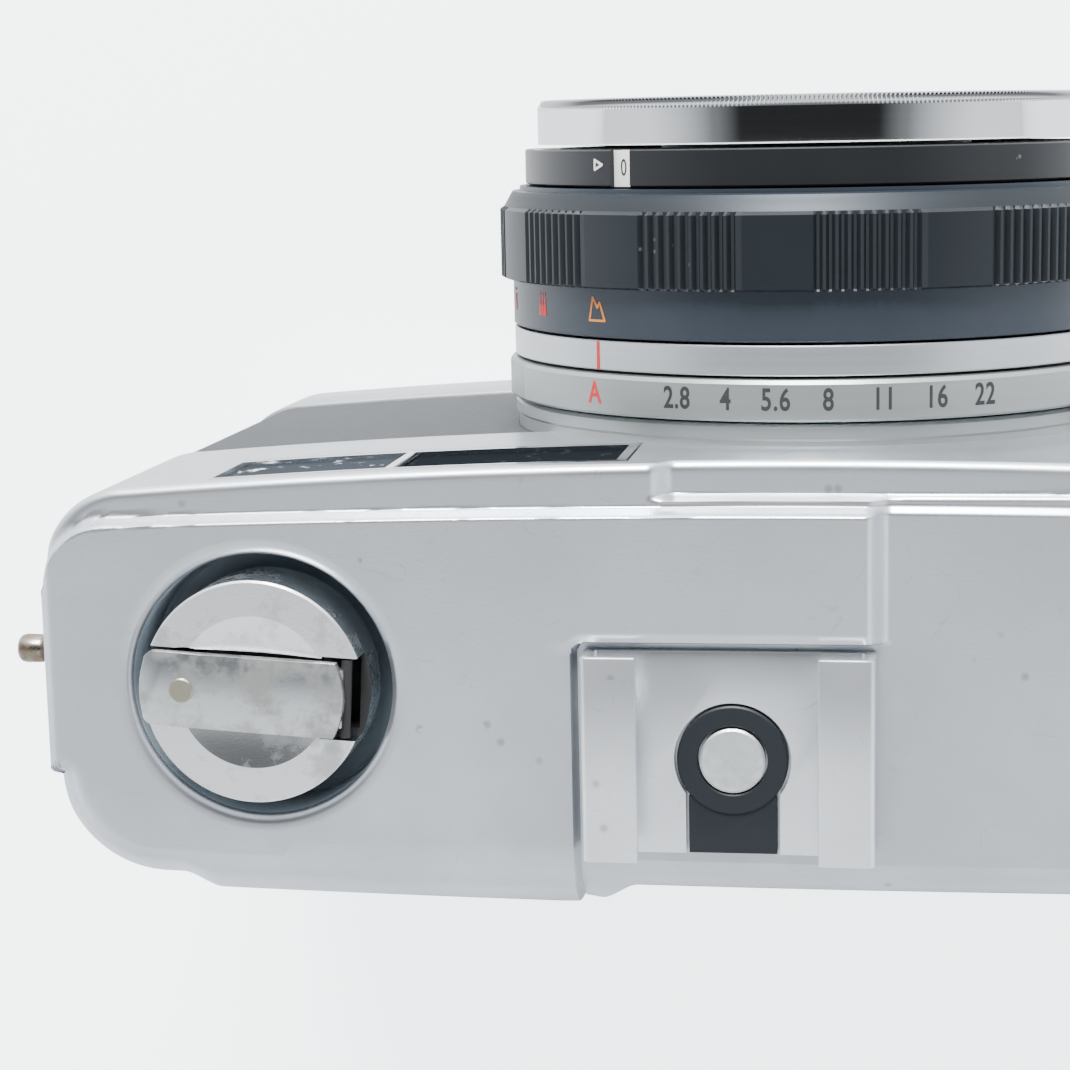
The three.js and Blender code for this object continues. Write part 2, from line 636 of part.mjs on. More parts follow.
addPart("button_spring", buttonSpring(), CHROME);
addPart("counter_window", rod(4.3, COUNTER_X, COUNTER_Y, [60.2, LOW_PLATE + 0.15], 32), GLASS);
addPart("counter_dial", rod(5, COUNTER_X, COUNTER_Y, [58.9, 59.7], 28).add(
  rod(1.2, COUNTER_X, COUNTER_Y, [56.5, 59], 16)), CREAM);

// ---------- finder ----------

const windowHeight = [WINDOW_BOTTOM + 0.9, WINDOW_TOP - 0.7];
const rightPane = [WINDOW_DIVIDER + 0.5, WINDOW_RIGHT - 0.9];
const leftPane = [WINDOW_LEFT + 0.9, WINDOW_DIVIDER - 0.5];

function windowBezel() {
  return wall(0.1, 1.2, [WINDOW_BOTTOM, WINDOW_TOP])
    .intersect(block([WINDOW_LEFT, WINDOW_RIGHT], [-30, 0], everyZ))
    .subtract(block(grow(rightPane, 0.2), [-30, 0], grow(windowHeight, 0.2)))
    .subtract(block(grow(leftPane, 0.2), [-30, 0], grow(windowHeight, 0.2)));
}

function pane(span) {
  return wall(0.35, 1.1, windowHeight).intersect(block(span, [-30, 0], everyZ));
}

function finderTunnel() {
  const outerX = [13.2, 27.2];
  return block(outerX, [-13.9, 9.5], [51.7, 59.6])
    .subtract(block(grow(outerX, -0.8), [-20, 20], [52.5, 58.8]));
}

addPart("window_bezel", windowBezel(), CHROME);
addPart("brightline_window", pane(rightPane), GLASS);
addPart("finder_front_glass", pane(leftPane), GLASS);
addPart("finder_tunnel", finderTunnel(), BLACK);
addPart("finder_rear_lens", block([15.9, 25.1], [9.8, 11.6], [53, 58.2]), GLASS);
const eyepiece = block([EYEPIECE_LEFT, EYEPIECE_RIGHT], [EYEPIECE_Y, EYEPIECE_Y + 1], [52.1, 58.9])
  .subtract(block([17, 24], [10, 20], [53.6, 57.6]));
addPart("eyepiece_frame", eyepiece, BLACK);

const meter = rod(4.6, 2, -6.5, [51.4, 58.2], 28).add(block([-6, 10], [-10.5, -2.5], [51.4, 53.6]));
addPart("meter_unit", meter, DARK_METAL);

// ---------- strap lugs ----------

for (const [side, name] of [[1, "strap_lug_right"], [-1, "strap_lug_left"]]) {
  const stem = alongX(0.6, [side * 52.9, side * 57.8], LUG_Y, LUG_Z, 16);
  const head = alongX(1.05, [side * 56, side * 58], LUG_Y, LUG_Z, 20);
  const foot = alongX(1.3, [side * 54.2, side * 54.8], LUG_Y, LUG_Z, 20);
  addPart(name, stem.add(head).add(foot), NICKEL);
}

// ---------- film transport ----------

// A spur gear with straight-sided teeth, the first tooth pointing along the given angle.
function gear(teeth, radius, x, y, [z0, z1], firstTooth) {
  const module = (2 * radius) / teeth;
  const pitch = (2 * Math.PI) / teeth;
  const outline = [];
  for (let i = 0; i < teeth; i += 1) {
    const centre = firstTooth + i * pitch;
    for (const [turn, r] of [[-0.24, -0.85], [-0.12, 0.7], [0.12, 0.7], [0.24, -0.85]]) {
      const angle = centre + turn * pitch;
      const reach = radius + r * module;
      outline.push([x + reach * Math.cos(angle), y + reach * Math.sin(angle)]);
    }
  }
  return raised(outline, [z0, z1]);
}

const gearLine = Math.atan2(COUNTER_Y - SPOOL_Y, COUNTER_X - SPOOL_X);
const gearDistance = Math.hypot(COUNTER_Y - SPOOL_Y, COUNTER_X - SPOOL_X);
const wheelGearRadius = (gearDistance * WHEEL_TEETH) / (WHEEL_TEETH + SPROCKET_TEETH);
const sprocketGearRadius = gearDistance - wheelGearRadius;

function thumbWheel() {
  const rim = [];
  const notches = 28;
  for (let i = 0; i < notches; i += 1) {
    const angle = (i * 2 * Math.PI) / notches;
    const half = Math.PI / notches / 2;
    for (const [turn, r] of [[-half, WHEEL_RADIUS], [half, WHEEL_RADIUS], [half * 2, WHEEL_RADIUS - 0.5]]) {
      rim.push([SPOOL_X + r * Math.cos(angle + turn), SPOOL_Y + r * Math.sin(angle + turn)]);
    }
  }
  return raised(rim, [53, 55.6])
    .add(gear(WHEEL_TEETH, wheelGearRadius, SPOOL_X, SPOOL_Y, [GEAR_LEVEL[0], 53.1], gearLine))
    .add(rod(2, SPOOL_X, SPOOL_Y, [47.8, 52], 20));
}

function takeupSpool() {
  const level = [5, 46.8];
  const bore = [[1.2, level[0]], [5.2, level[0]], [5.2, level[1]], [1.2, level[1]]];
  return turnedUpright(bore, SPOOL_X, SPOOL_Y, 28)
    .subtract(block([SPOOL_X - 0.5, SPOOL_X + 0.5], [SPOOL_Y + 2.5, SPOOL_Y + 8], [14, 44]));
}

function sprocketRoller() {
  const turn = gearLine + Math.PI + Math.PI / SPROCKET_TEETH;
  let roller = rod(2, COUNTER_X, COUNTER_Y, [2.6, 53], 20)
    .add(rod(4.6, COUNTER_X, COUNTER_Y, [11, 47], 28))
    .add(gear(SPROCKET_TEETH, sprocketGearRadius, COUNTER_X, COUNTER_Y, GEAR_LEVEL, turn));
  for (const z of [13.4, 44]) {
    for (let i = 0; i < 8; i += 1) {
      const tooth = new THREE.BoxGeometry(1.8, 1, 1.2);
      tooth.translate(4.9, 0, z);
      tooth.rotateZ((i * Math.PI) / 4 + 0.2);
      tooth.translate(COUNTER_X, COUNTER_Y, 0);
      roller = roller.add(solid(tooth));
    }
  }
  return roller;
}

addPart("thumb_wheel", thumbWheel(), BLACK);
addPart("takeup_spool", takeupSpool(), BLACK);
addPart("film_sprocket", sprocketRoller(), NICKEL);

// ---------- base fittings ----------

addPart("tripod_bush", turnedUpright([[3.15, 0], [6.4, 0], [6.4, 5.6], [3.15, 5.6]], 0, 0, 32), NICKEL);
const releaseProfile = [[0, 0.4], [2.5, 0.4], [2.5, 4.2], [1.2, 4.2], [1.2, 5.8], [0, 5.8]];
addPart("rewind_release_button", turnedUpright(releaseProfile, RELEASE_X, RELEASE_Y, 24), CHROME);
for (const [side, name] of [[1, "base_screw_right"], [-1, "base_screw_left"]]) {
  const screw = rod(1.1, side * SCREW_X, 0, [0.7, 4.2], 16).add(rod(2.2, side * SCREW_X, 0, [0.2, 0.85], 20));
  const slot = block([side * SCREW_X - 3, side * SCREW_X + 3], [-0.3, 0.3], [0, 0.45]);
  addPart(name, screw.subtract(slot), NICKEL);
}

export default camera;
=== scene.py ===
# %% [markdown]
# # A half frame camera, modelled and finished
# The camera is a real assembly: pressed covers over a casting, a lens made of turned rings, a
# folding rewind crank and a hinged back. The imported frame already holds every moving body. Here
# each surface that shows gets its true shape, its soft edges, its engraving and its finish, and
# then rides on the body that carries it.

# %% Load the frame
import math

import bmesh
import bpy
from mathutils import Matrix, Vector


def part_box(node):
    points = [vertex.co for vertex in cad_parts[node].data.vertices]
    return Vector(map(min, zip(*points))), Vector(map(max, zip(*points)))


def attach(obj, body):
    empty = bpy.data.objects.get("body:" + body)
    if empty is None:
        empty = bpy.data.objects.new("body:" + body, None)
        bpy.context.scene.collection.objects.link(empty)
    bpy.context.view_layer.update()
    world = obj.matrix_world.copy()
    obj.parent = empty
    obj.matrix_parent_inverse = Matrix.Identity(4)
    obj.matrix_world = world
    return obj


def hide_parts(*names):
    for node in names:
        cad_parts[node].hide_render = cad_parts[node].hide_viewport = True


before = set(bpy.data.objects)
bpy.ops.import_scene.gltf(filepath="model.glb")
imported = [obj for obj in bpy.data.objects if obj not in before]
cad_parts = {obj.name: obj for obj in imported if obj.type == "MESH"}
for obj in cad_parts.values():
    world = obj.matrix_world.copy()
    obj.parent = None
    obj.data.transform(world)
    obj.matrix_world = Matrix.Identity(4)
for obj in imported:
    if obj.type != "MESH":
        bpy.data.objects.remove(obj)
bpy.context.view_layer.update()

# %% [markdown]
# Small things are easier to draw in millimetres. Every new piece is drawn in millimetres, measured
# from the middle of the body's depth, and `place` turns it to metres at the end and moves it back
# by the same shift as the frame has, so that the finished object sits at the origin with its place
# in its mesh. The shift is read from the frame itself.

# %% Workshop measure
MM = 0.001
knob_low, knob_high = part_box("rewind_knob")
DEPTH_SHIFT = round((knob_low.y + knob_high.y) / 2 / MM, 2)
HALF_LENGTH = 54.0
FRONT_Y, REAR_Y = -15.9, 15.2
FRONT_BOW, REAR_BOW = 1190.0, 3500.0
FRONT_CORNER, REAR_CORNER = 6.5, 8.0
HIGH, LEDGE, LOW, CHANNEL = 63.0, 61.9, 61.3, 60.6
COVER_EDGE, REAR_EDGE, BASE_TOP, BASE_REAR = 42.6, 47.5, 10.6, 3.6
LENS_Z = 29.2
REWIND_X = 37.9
print("depth shift, mm:", DEPTH_SHIFT)

# %% [markdown]
# These are the hand tools. `select` picks faces, edges or points by a test on their place. `line`
# starts from one point and extrudes it along a row of points. `turned` spins such a line about an
# axis, as a lathe would, and `plate` fills a closed line and extrudes it upwards. `carve` and
# `joined` are the saw and the glue.

# %% Hand tools
def clear():
    if bpy.context.object and bpy.context.object.mode != "OBJECT":
        bpy.ops.object.mode_set(mode="OBJECT")
    bpy.ops.object.select_all(action="DESELECT")


def take(obj):
    clear()
    obj.select_set(True)
    bpy.context.view_layer.objects.active = obj
    return obj


def edit(obj, kind="VERT"):
    take(obj)
    bpy.ops.object.mode_set(mode="EDIT")
    bpy.ops.mesh.select_mode(type=kind)
    bpy.ops.mesh.select_all(action="DESELECT")


def select(obj, kind, test):
    """Selects the parts of that kind whose middle and normal pass the test, and says how many there are."""
    edit(obj, kind)
    bm = bmesh.from_edit_mesh(obj.data)
    bm.normal_update()
    count = 0
    if kind == "FACE":
        for f in bm.faces:
            chosen = bool(test(f.calc_center_median(), f.normal))
            f.select_set(chosen)
            count += chosen
    elif kind == "EDGE":
        for e in bm.edges:
            chosen = bool(test((e.verts[0].co + e.verts[1].co) / 2, (e.verts[1].co - e.verts[0].co).normalized()))
            e.select_set(chosen)
            count += chosen
    else:
        for v in bm.verts:
            chosen = bool(test(v.co, v.normal))
            v.select_set(chosen)
            count += chosen
    bmesh.update_edit_mesh(obj.data)
    return count


def done():
    bpy.ops.object.mode_set(mode="OBJECT")


def line(name, points):
    clear()
    bpy.ops.mesh.primitive_plane_add(size=1)
    obj = bpy.context.object
    obj.name = name
    bpy.ops.object.mode_set(mode="EDIT")
    bpy.ops.mesh.select_mode(type="VERT")
    bpy.ops.mesh.select_all(action="SELECT")
    bpy.ops.mesh.merge(type="CENTER")
    bpy.ops.transform.translate(value=points[0])
    for a, b in zip(points, points[1:]):
        bpy.ops.mesh.extrude_vertices_move(TRANSFORM_OT_translate={"value": Vector(b) - Vector(a)})
    done()
    return obj


def outward(obj, gap=0.001):
    edit(obj)
    bpy.ops.mesh.select_all(action="SELECT")
    bpy.ops.mesh.remove_doubles(threshold=gap)
    bpy.ops.mesh.normals_make_consistent(inside=False)
    done()
    return obj


def turned(name, profile, steps=128, axis="Y", centre=(0, 0, LENS_Z), hollow=True):
    """Spins [radius, height] pairs about an axis through centre. A hollow ring's outline closes on itself."""
    pairs = list(profile) + ([profile[0]] if hollow else [])
    cx, cy, cz = centre
    if axis == "Y":
        points, direction = [(cx, h, cz + r) for r, h in pairs], (0, 1, 0)
    elif axis == "Z":
        points, direction = [(cx + r, cy, h) for r, h in pairs], (0, 0, 1)
    else:
        points, direction = [(h, cy, cz + r) for r, h in pairs], (1, 0, 0)
    obj = line(name, points)
    edit(obj)
    bpy.ops.mesh.select_all(action="SELECT")
    bpy.ops.mesh.spin(steps=steps, angle=math.tau, center=centre, axis=direction)
    done()
    return outward(obj)


def plate(name, outline, low, high):
    """A flat outline of [x, y] pairs, raised from low to high."""
    points = [(x, y, low) for x, y in outline]
    obj = line(name, points + [points[0]])
    edit(obj)
    bpy.ops.mesh.select_all(action="SELECT")
    bpy.ops.mesh.remove_doubles(threshold=0.0005)
    bpy.ops.mesh.edge_face_add()
    bpy.ops.mesh.extrude_region_move(TRANSFORM_OT_translate={"value": (0, 0, high - low)})
    done()
    return outward(obj, 0.0005)


def box(name, x, y, z):
    clear()
    bpy.ops.mesh.primitive_cube_add(size=1, location=[(a + b) / 2 for a, b in (x, y, z)])
    obj = bpy.context.object
    obj.name = name
    obj.scale = [b - a for a, b in (x, y, z)]
    bpy.ops.object.transform_apply(location=True, rotation=True, scale=True)
    return obj


def rod(name, radius, x, y, low, high, sides=64):
    clear()
    bpy.ops.mesh.primitive_cylinder_add(
        radius=radius, depth=high - low, vertices=sides, location=(x, y, (low + high) / 2)
    )
    obj = bpy.context.object
    obj.name = name
    bpy.ops.object.transform_apply(location=True, rotation=True, scale=True)
    return obj


def lens_rod(name, radius, y0, y1, sides=128):
    return turned(name, [(0, y0), (radius, y0), (radius, y1), (0, y1)], sides, hollow=False)


def apply_modifier(obj, kind, **settings):
    take(obj)
    modifier = obj.modifiers.new(kind.lower(), kind)
    for key, value in settings.items():
        setattr(modifier, key, value)
    bpy.ops.object.modifier_apply(modifier=modifier.name)
    return obj


def carve(obj, tool, how="DIFFERENCE"):
    apply_modifier(obj, "BOOLEAN", operation=how, object=tool, solver="EXACT")
    bpy.data.objects.remove(tool)
    return obj


def joined(name, *objs):
    clear()
    for o in objs:
        o.select_set(True)
    bpy.context.view_layer.objects.active = objs[0]
    if len(objs) > 1:
        bpy.ops.object.join()
    objs[0].name = name
    return objs[0]


def copy_of(obj, name, move=None):
    """A copy with a mesh of its own, moved by a matrix."""
    twin = obj.copy()
    twin.data = obj.data.copy()
    twin.name = name
    bpy.context.scene.collection.objects.link(twin)
    if move is not None:
        twin.data.transform(move)
    return twin


def bevelled(obj, width, segments=3, angle=30):
    return apply_modifier(
        obj, "BEVEL", width=width, segments=segments, limit_method="ANGLE", angle_limit=math.radians(angle),
        miter_outer="MITER_ARC", use_clamp_overlap=True, harden_normals=False,
    )


def smooth_shaded(obj, angle=32):
    take(obj)
    bpy.ops.object.shade_smooth_by_angle(angle=math.radians(angle))
    return obj


def about(axis, degrees, centre):
    c = Vector(centre)
    return Matrix.Translation(c) @ Matrix.Rotation(math.radians(degrees), 4, axis) @ Matrix.Translation(-c)


def ease(t):
    t = min(1.0, max(0.0, t))
    return t * t * (3 - 2 * t)


# %% [markdown]
# `place` is the last step for every new piece. It turns millimetres into metres, gives the piece
# its finish, and lets it ride on its body. It prints how many triangles the piece has.

# %% Putting a piece in its place
total = {"triangles": 0, "pieces": 0}


def place(obj, body, finish, replaces=(), angle=32):
    if angle:
        smooth_shaded(obj, angle)
    obj.data.transform(Matrix.Translation((0, DEPTH_SHIFT * MM, 0)) @ Matrix.Scale(MM, 4))
    obj.data.update()
    obj.data.materials.clear()
    for one in finish if isinstance(finish, (list, tuple)) else [finish]:
        obj.data.materials.append(one)
    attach(obj, body)
    if replaces:
        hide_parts(*replaces)
    obj.data.calc_loop_triangles()
    total["triangles"] += len(obj.data.loop_triangles)
    total["pieces"] += 1
    print(f"{obj.name}: {len(obj.data.loop_triangles)} triangles on {body}")
    return obj

# %% [markdown]
# ## Finishes
# The covers are satin chrome over brass: a fine, even grain, a few scuffs and specks of dirt, and a
# slightly uneven tone. Effects that several finishes share are node groups with named inputs, and
# they put out only colours, masks and heights. They read object coordinates, so they stay still on
# a piece when it moves.

# %% Node helpers
def group(name, inputs, outputs):
    tree = bpy.data.node_groups.new(name, "ShaderNodeTree")
    for label, value in inputs:
        socket = tree.interface.new_socket(name=label, in_out="INPUT", socket_type="NodeSocketFloat")
        socket.default_value = value
    for label in outputs:
        tree.interface.new_socket(name=label, in_out="OUTPUT", socket_type="NodeSocketFloat")
    return tree, tree.nodes.new("NodeGroupInput"), tree.nodes.new("NodeGroupOutput")


def node(tree, kind, links=(), **settings):
    """Adds a node, sets its values, and links (socket, source) pairs into it."""
    made = tree.nodes.new(kind)
    for key, value in settings.items():
        setattr(made, key, value)
    for socket, source in links:
        if hasattr(source, "links"):
            tree.links.new(source, made.inputs[socket])
        else:
            made.inputs[socket].default_value = source
    return made


def math_node(tree, operation, a, b=0.0):
    return node(tree, "ShaderNodeMath", [(0, a), (1, b)], operation=operation).outputs[0]


def ranged(tree, value, low, high, to_low=0.0, to_high=1.0):
    links = [("Value", value), ("From Min", low), ("From Max", high), ("To Min", to_low), ("To Max", to_high)]
    return node(tree, "ShaderNodeMapRange", links).outputs["Result"]


def noise(tree, where, scale, detail=3.0, roughness=0.55):
    links = [("Vector", where), ("Scale", scale), ("Detail", detail), ("Roughness", roughness)]
    return node(tree, "ShaderNodeTexNoise", links).outputs["Fac"]


def object_place(tree):
    return node(tree, "ShaderNodeTexCoord").outputs["Object"]


# %% Shared effects
def make_grain():
    """The fine even grain that satin plating has, and a slow unevenness under it."""
    tree, start, end = group(
        "satin_grain", [("Grain size", 5200.0), ("Cloud size", 70.0)], ["Height", "Cloud"]
    )
    where = object_place(tree)
    fine = noise(tree, where, start.outputs["Grain size"], 2.0, 0.6)
    cloud = noise(tree, where, start.outputs["Cloud size"], 4.0, 0.6)
    tree.links.new(fine, end.inputs["Height"])
    tree.links.new(cloud, end.inputs["Cloud"])
    return tree


def make_wear():
    """Specks of dirt, and short scuffs that run mostly one way on a face, a little bent."""
    inputs = [("Speck size", 420.0), ("Speck share", 0.16), ("Scuff size", 260.0)]
    tree, start, end = group("specks_and_scuffs", inputs, ["Specks", "Scuffs"])
    where = object_place(tree)
    cells = node(tree, "ShaderNodeTexVoronoi", [("Vector", where), ("Scale", start.outputs["Speck size"])])
    dots = ranged(tree, cells.outputs["Distance"], 0.06, 0.17, 1.0, 0.0)
    patch = noise(tree, where, 95.0, 3.0, 0.6)
    threshold = math_node(tree, "SUBTRACT", 0.72, start.outputs["Speck share"])
    crowded = math_node(tree, "GREATER_THAN", patch, threshold)
    tree.links.new(math_node(tree, "MULTIPLY", dots, crowded), end.inputs["Specks"])
    bent = node(tree, "ShaderNodeTexNoise", [("Vector", where), ("Scale", 150.0), ("Detail", 1.0)])
    mixed = node(
        tree, "ShaderNodeMixRGB",
        [("Fac", 0.02), ("Color1", where), ("Color2", bent.outputs["Color"])]
    )
    long = node(
        tree, "ShaderNodeMapping",
        [("Vector", mixed.outputs[0]), ("Rotation", (0.3, 0.2, 0.7)), ("Scale", (1, 14, 1))]
    )
    hair = noise(tree, long.outputs[0], start.outputs["Scuff size"], 1.0, 0.4)
    thin = ranged(tree, hair, 0.70, 0.76)
    tree.links.new(thin, end.inputs["Scuffs"])
    return tree


def make_tarnish():
    """Blotches where the plating has dulled."""
    tree, start, end = group("tarnish_blotches", [("Size", 260.0), ("From", 0.46), ("To", 0.64)], ["Mask"])
    where = object_place(tree)
    big = noise(tree, where, start.outputs["Size"], 6.0, 0.68)
    links = [("Value", big), ("From Min", start.outputs["From"]), ("From Max", start.outputs["To"])]
    made = node(tree, "ShaderNodeMapRange", links)
    tree.links.new(made.outputs["Result"], end.inputs["Mask"])
    return tree


def make_lathe():
    """The close rings that a lathe tool leaves on turned metal, running round the lens axis."""
    tree, start, end = group("lathe_rings", [("Density", 9000.0)], ["Height", "Tone"])
    split = node(tree, "ShaderNodeSeparateXYZ", [("Vector", object_place(tree))])
    up = math_node(tree, "SUBTRACT", split.outputs["Z"], LENS_Z * MM)
    flat = node(tree, "ShaderNodeCombineXYZ", [("X", split.outputs["X"]), ("Y", 0.0), ("Z", up)])
    reach = node(tree, "ShaderNodeVectorMath", [(0, flat.outputs[0])], operation="LENGTH").outputs["Value"]
    station = node(tree, "ShaderNodeCombineXYZ", [("X", reach), ("Y", split.outputs["Y"]), ("Z", 0.0)])
    rings = noise(tree, station.outputs[0], start.outputs["Density"], 2.0, 0.7)
    tone = noise(tree, station.outputs[0], 1500.0, 2.0, 0.5)
    tree.links.new(rings, end.inputs["Height"])
    tree.links.new(tone, end.inputs["Tone"])
    return tree


GRAIN, WEAR, TARNISH, LATHE = make_grain(), make_wear(), make_tarnish(), make_lathe()


# %% [markdown]
# A finish starts from its own Principled shader. `finish` makes it with plain values, and `tinted`
# runs the base colour between two colours by a mask. Bump heights are in metres, so a grain of a
# few thousandths of a millimetre stays fine.

# %% Finish helpers
def finish(name, colour, metal, rough, **plain):
    material = bpy.data.materials.new(name)
    material.use_nodes = True
    shader = material.node_tree.nodes["Principled BSDF"]
    shader.inputs["Base Color"].default_value = (*colour, 1)
    shader.inputs["Metallic"].default_value = metal
    shader.inputs["Roughness"].default_value = rough
    for socket, value in plain.items():
        shader.inputs[socket.replace("_", " ")].default_value = value
    return material, material.node_tree, shader


def use(tree, shared, **values):
    made = tree.nodes.new("ShaderNodeGroup")
    made.node_tree = shared
    for label, value in values.items():
        made.inputs[label.replace("_", " ")].default_value = value
    return made


def tinted(tree, mask, first, second):
    """first and second are colours, or a colour output that is already made."""
    mix = tree.nodes.new("ShaderNodeMixRGB")
    tree.links.new(mask, mix.inputs["Fac"])
    for socket, colour in (("Color1", first), ("Color2", second)):
        if hasattr(colour, "links"):
            tree.links.new(colour, mix.inputs[socket])
        else:
            mix.inputs[socket].default_value = (*colour, 1)
    return mix.outputs[0]


def bumped(tree, shader, height, distance, strength=1.0):
    bump = node(tree, "ShaderNodeBump", [("Height", height), ("Distance", distance), ("Strength", strength)])
    tree.links.new(bump.outputs["Normal"], shader.inputs["Normal"])
    return bump


# %% The plated and painted finishes
def satin_plate(name, tone, rough, speck_share=0.14, dirt=True):
    material, tree, shader = finish(name, tone, 0.92, rough)
    grain = use(tree, GRAIN)
    wear = use(tree, WEAR, Speck_share=speck_share)
    dull = tuple(v * 0.86 for v in tone)
    colour = tinted(tree, ranged(tree, grain.outputs["Cloud"], 0.35, 0.7), tone, dull)
    if dirt:
        mask = math_node(tree, "MULTIPLY", wear.outputs["Specks"], 0.45)
        colour = tinted(tree, mask, colour, (0.16, 0.15, 0.14))
        colour = tinted(
            tree, math_node(tree, "MULTIPLY", wear.outputs["Scuffs"], 0.22), colour,
            (0.34, 0.35, 0.36)
        )
    tree.links.new(colour, shader.inputs["Base Color"])
    rougher = ranged(tree, grain.outputs["Cloud"], 0.3, 0.75, rough - 0.05, rough + 0.07)
    tree.links.new(rougher, shader.inputs["Roughness"])
    bumped(tree, shader, grain.outputs["Height"], 0.000012, 0.5)
    return material


def tarnished(name, tone, rough, stain, amount=0.7, size=260.0, low=0.46, high=0.64):
    """Bright nickel that has dulled in blotches, where hands and dust have been at it."""
    material, tree, shader = finish(name, tone, 1.0, rough)
    blotch = use(tree, TARNISH, Size=size, From=low, To=high)
    grain = use(tree, GRAIN, Grain_size=6500.0)
    mask = math_node(tree, "MULTIPLY", blotch.outputs["Mask"], amount)
    tree.links.new(tinted(tree, mask, tone, stain), shader.inputs["Base Color"])
    tree.links.new(
        ranged(tree, blotch.outputs["Mask"], 0.0, 1.0, rough, rough + 0.2),
        shader.inputs["Roughness"]
    )
    bumped(tree, shader, grain.outputs["Height"], 0.000008, 0.5)
    return material


def turned_metal(name, tone, rough, metal=1.0, depth=0.000006, density=9000.0, spots=0.0):
    material, tree, shader = finish(name, tone, metal, rough)
    lathe = use(tree, LATHE, Density=density)
    wear = use(tree, WEAR, Speck_share=spots)
    colour = tinted(tree, ranged(tree, lathe.outputs["Tone"], 0.3, 0.7), tuple(v * 0.93 for v in tone), tone)
    colour = tinted(
        tree, math_node(tree, "MULTIPLY", wear.outputs["Specks"], 0.5), colour,
        tuple(v * 0.4 for v in tone)
    )
    tree.links.new(colour, shader.inputs["Base Color"])
    tree.links.new(
        ranged(tree, lathe.outputs["Tone"], 0.2, 0.8, rough - 0.03, rough + 0.05),
        shader.inputs["Roughness"]
    )
    bumped(tree, shader, lathe.outputs["Height"], depth, 0.6)
    return material


def anodised(name, tone, rough, dust=0.35):
    """Dark anodised aluminium: smooth, a little grey, with pale dust that has settled in it."""
    material, tree, shader = finish(name, tone, 0.35, rough)
    grain = use(tree, GRAIN, Grain_size=7000.0)
    wear = use(tree, WEAR, Speck_size=900.0, Speck_share=0.1)
    lift = tuple(min(1.0, v * 1.25) for v in tone)
    colour = tinted(tree, ranged(tree, grain.outputs["Cloud"], 0.35, 0.7), tone, lift)
    mask = math_node(tree, "MULTIPLY", wear.outputs["Specks"], dust)
    tree.links.new(tinted(tree, mask, colour, (0.30, 0.27, 0.23)), shader.inputs["Base Color"])
    bumped(tree, shader, grain.outputs["Height"], 0.000008, 0.5)
    return material


def enamel(name, colour, rough=0.4, **plain):
    material, tree, shader = finish(name, colour, 0.0, rough, **plain)
    grain = use(tree, GRAIN, Grain_size=9000.0)
    darker = tuple(v * 0.8 for v in colour)
    mask = ranged(tree, grain.outputs["Cloud"], 0.35, 0.7)
    tree.links.new(tinted(tree, mask, colour, darker), shader.inputs["Base Color"])
    bumped(tree, shader, grain.outputs["Height"], 0.000006, 0.4)
    return material


SATIN = satin_plate("satin_chrome", (0.60, 0.625, 0.66), 0.34)
BASE_SATIN = satin_plate("base_satin_chrome", (0.60, 0.62, 0.65), 0.38, 0.1)
SHOE_METAL = satin_plate("shoe_nickel", (0.80, 0.83, 0.86), 0.34, 0.2)
KNOB_METAL = tarnished("knob_nickel", (0.78, 0.80, 0.82), 0.24, (0.40, 0.41, 0.41), 0.55, 300.0, 0.52, 0.66)
CRANK_METAL = tarnished("crank_nickel", (0.56, 0.58, 0.59), 0.30, (0.33, 0.33, 0.31), 0.8, 330.0, 0.44, 0.60)
CONTACT_METAL = tarnished("contact_nickel", (0.74, 0.77, 0.77), 0.34, (0.50, 0.52, 0.52), 0.7, 620.0)
LUG_METAL = tarnished("lug_nickel", (0.26, 0.245, 0.21), 0.22, (0.20, 0.15, 0.10), 0.9, 900.0, 0.42, 0.56)
RIVET_BRASS = tarnished("rivet_brass", (0.36, 0.345, 0.27), 0.34, (0.30, 0.28, 0.22), 0.8, 1400.0, 0.42, 0.6)
CREAM_RING = turned_metal("cream_silver", (0.38, 0.40, 0.395), 0.34, 0.85, 0.000004, 7000.0, 0.1)
INDEX_METAL = turned_metal("index_silver", (0.56, 0.58, 0.60), 0.30, 0.95, 0.000007, 9000.0, 0.08)
CHROME = turned_metal("polished_chrome", (0.80, 0.82, 0.84), 0.07, 1.0, 0.000001, 5000.0, 0.14)
SLEEVE_DARK = anodised("sleeve_slate", (0.022, 0.029, 0.039), 0.36)
GRIP_DARK = anodised("grip_black", (0.012, 0.015, 0.019), 0.42)
RING_BLACK = anodised("ring_black", (0.010, 0.011, 0.013), 0.33)
SOFT_BLACK = enamel("moulded_black", (0.009, 0.012, 0.016), 0.45, Specular_IOR_Level=0.3)
GRIP_LAND = anodised("grip_land", (0.006, 0.009, 0.012), 0.38)
# Painted shade: this dark dull colour stands for the shadow down in the rewind well.
WELL_PAINTED_SHADE = enamel("well_painted_shade", (0.26, 0.31, 0.35), 0.6, Specular_IOR_Level=0.3)
# Painted highlight: the focus ring's rear bevel is the same anodised metal as the sleeve, and this copy is tuned to
# the light the bevel catches.
GRIP_EDGE_HIGHLIGHT = turned_metal("grip_edge_painted_highlight", (0.026, 0.031, 0.036), 0.44, 0.7)
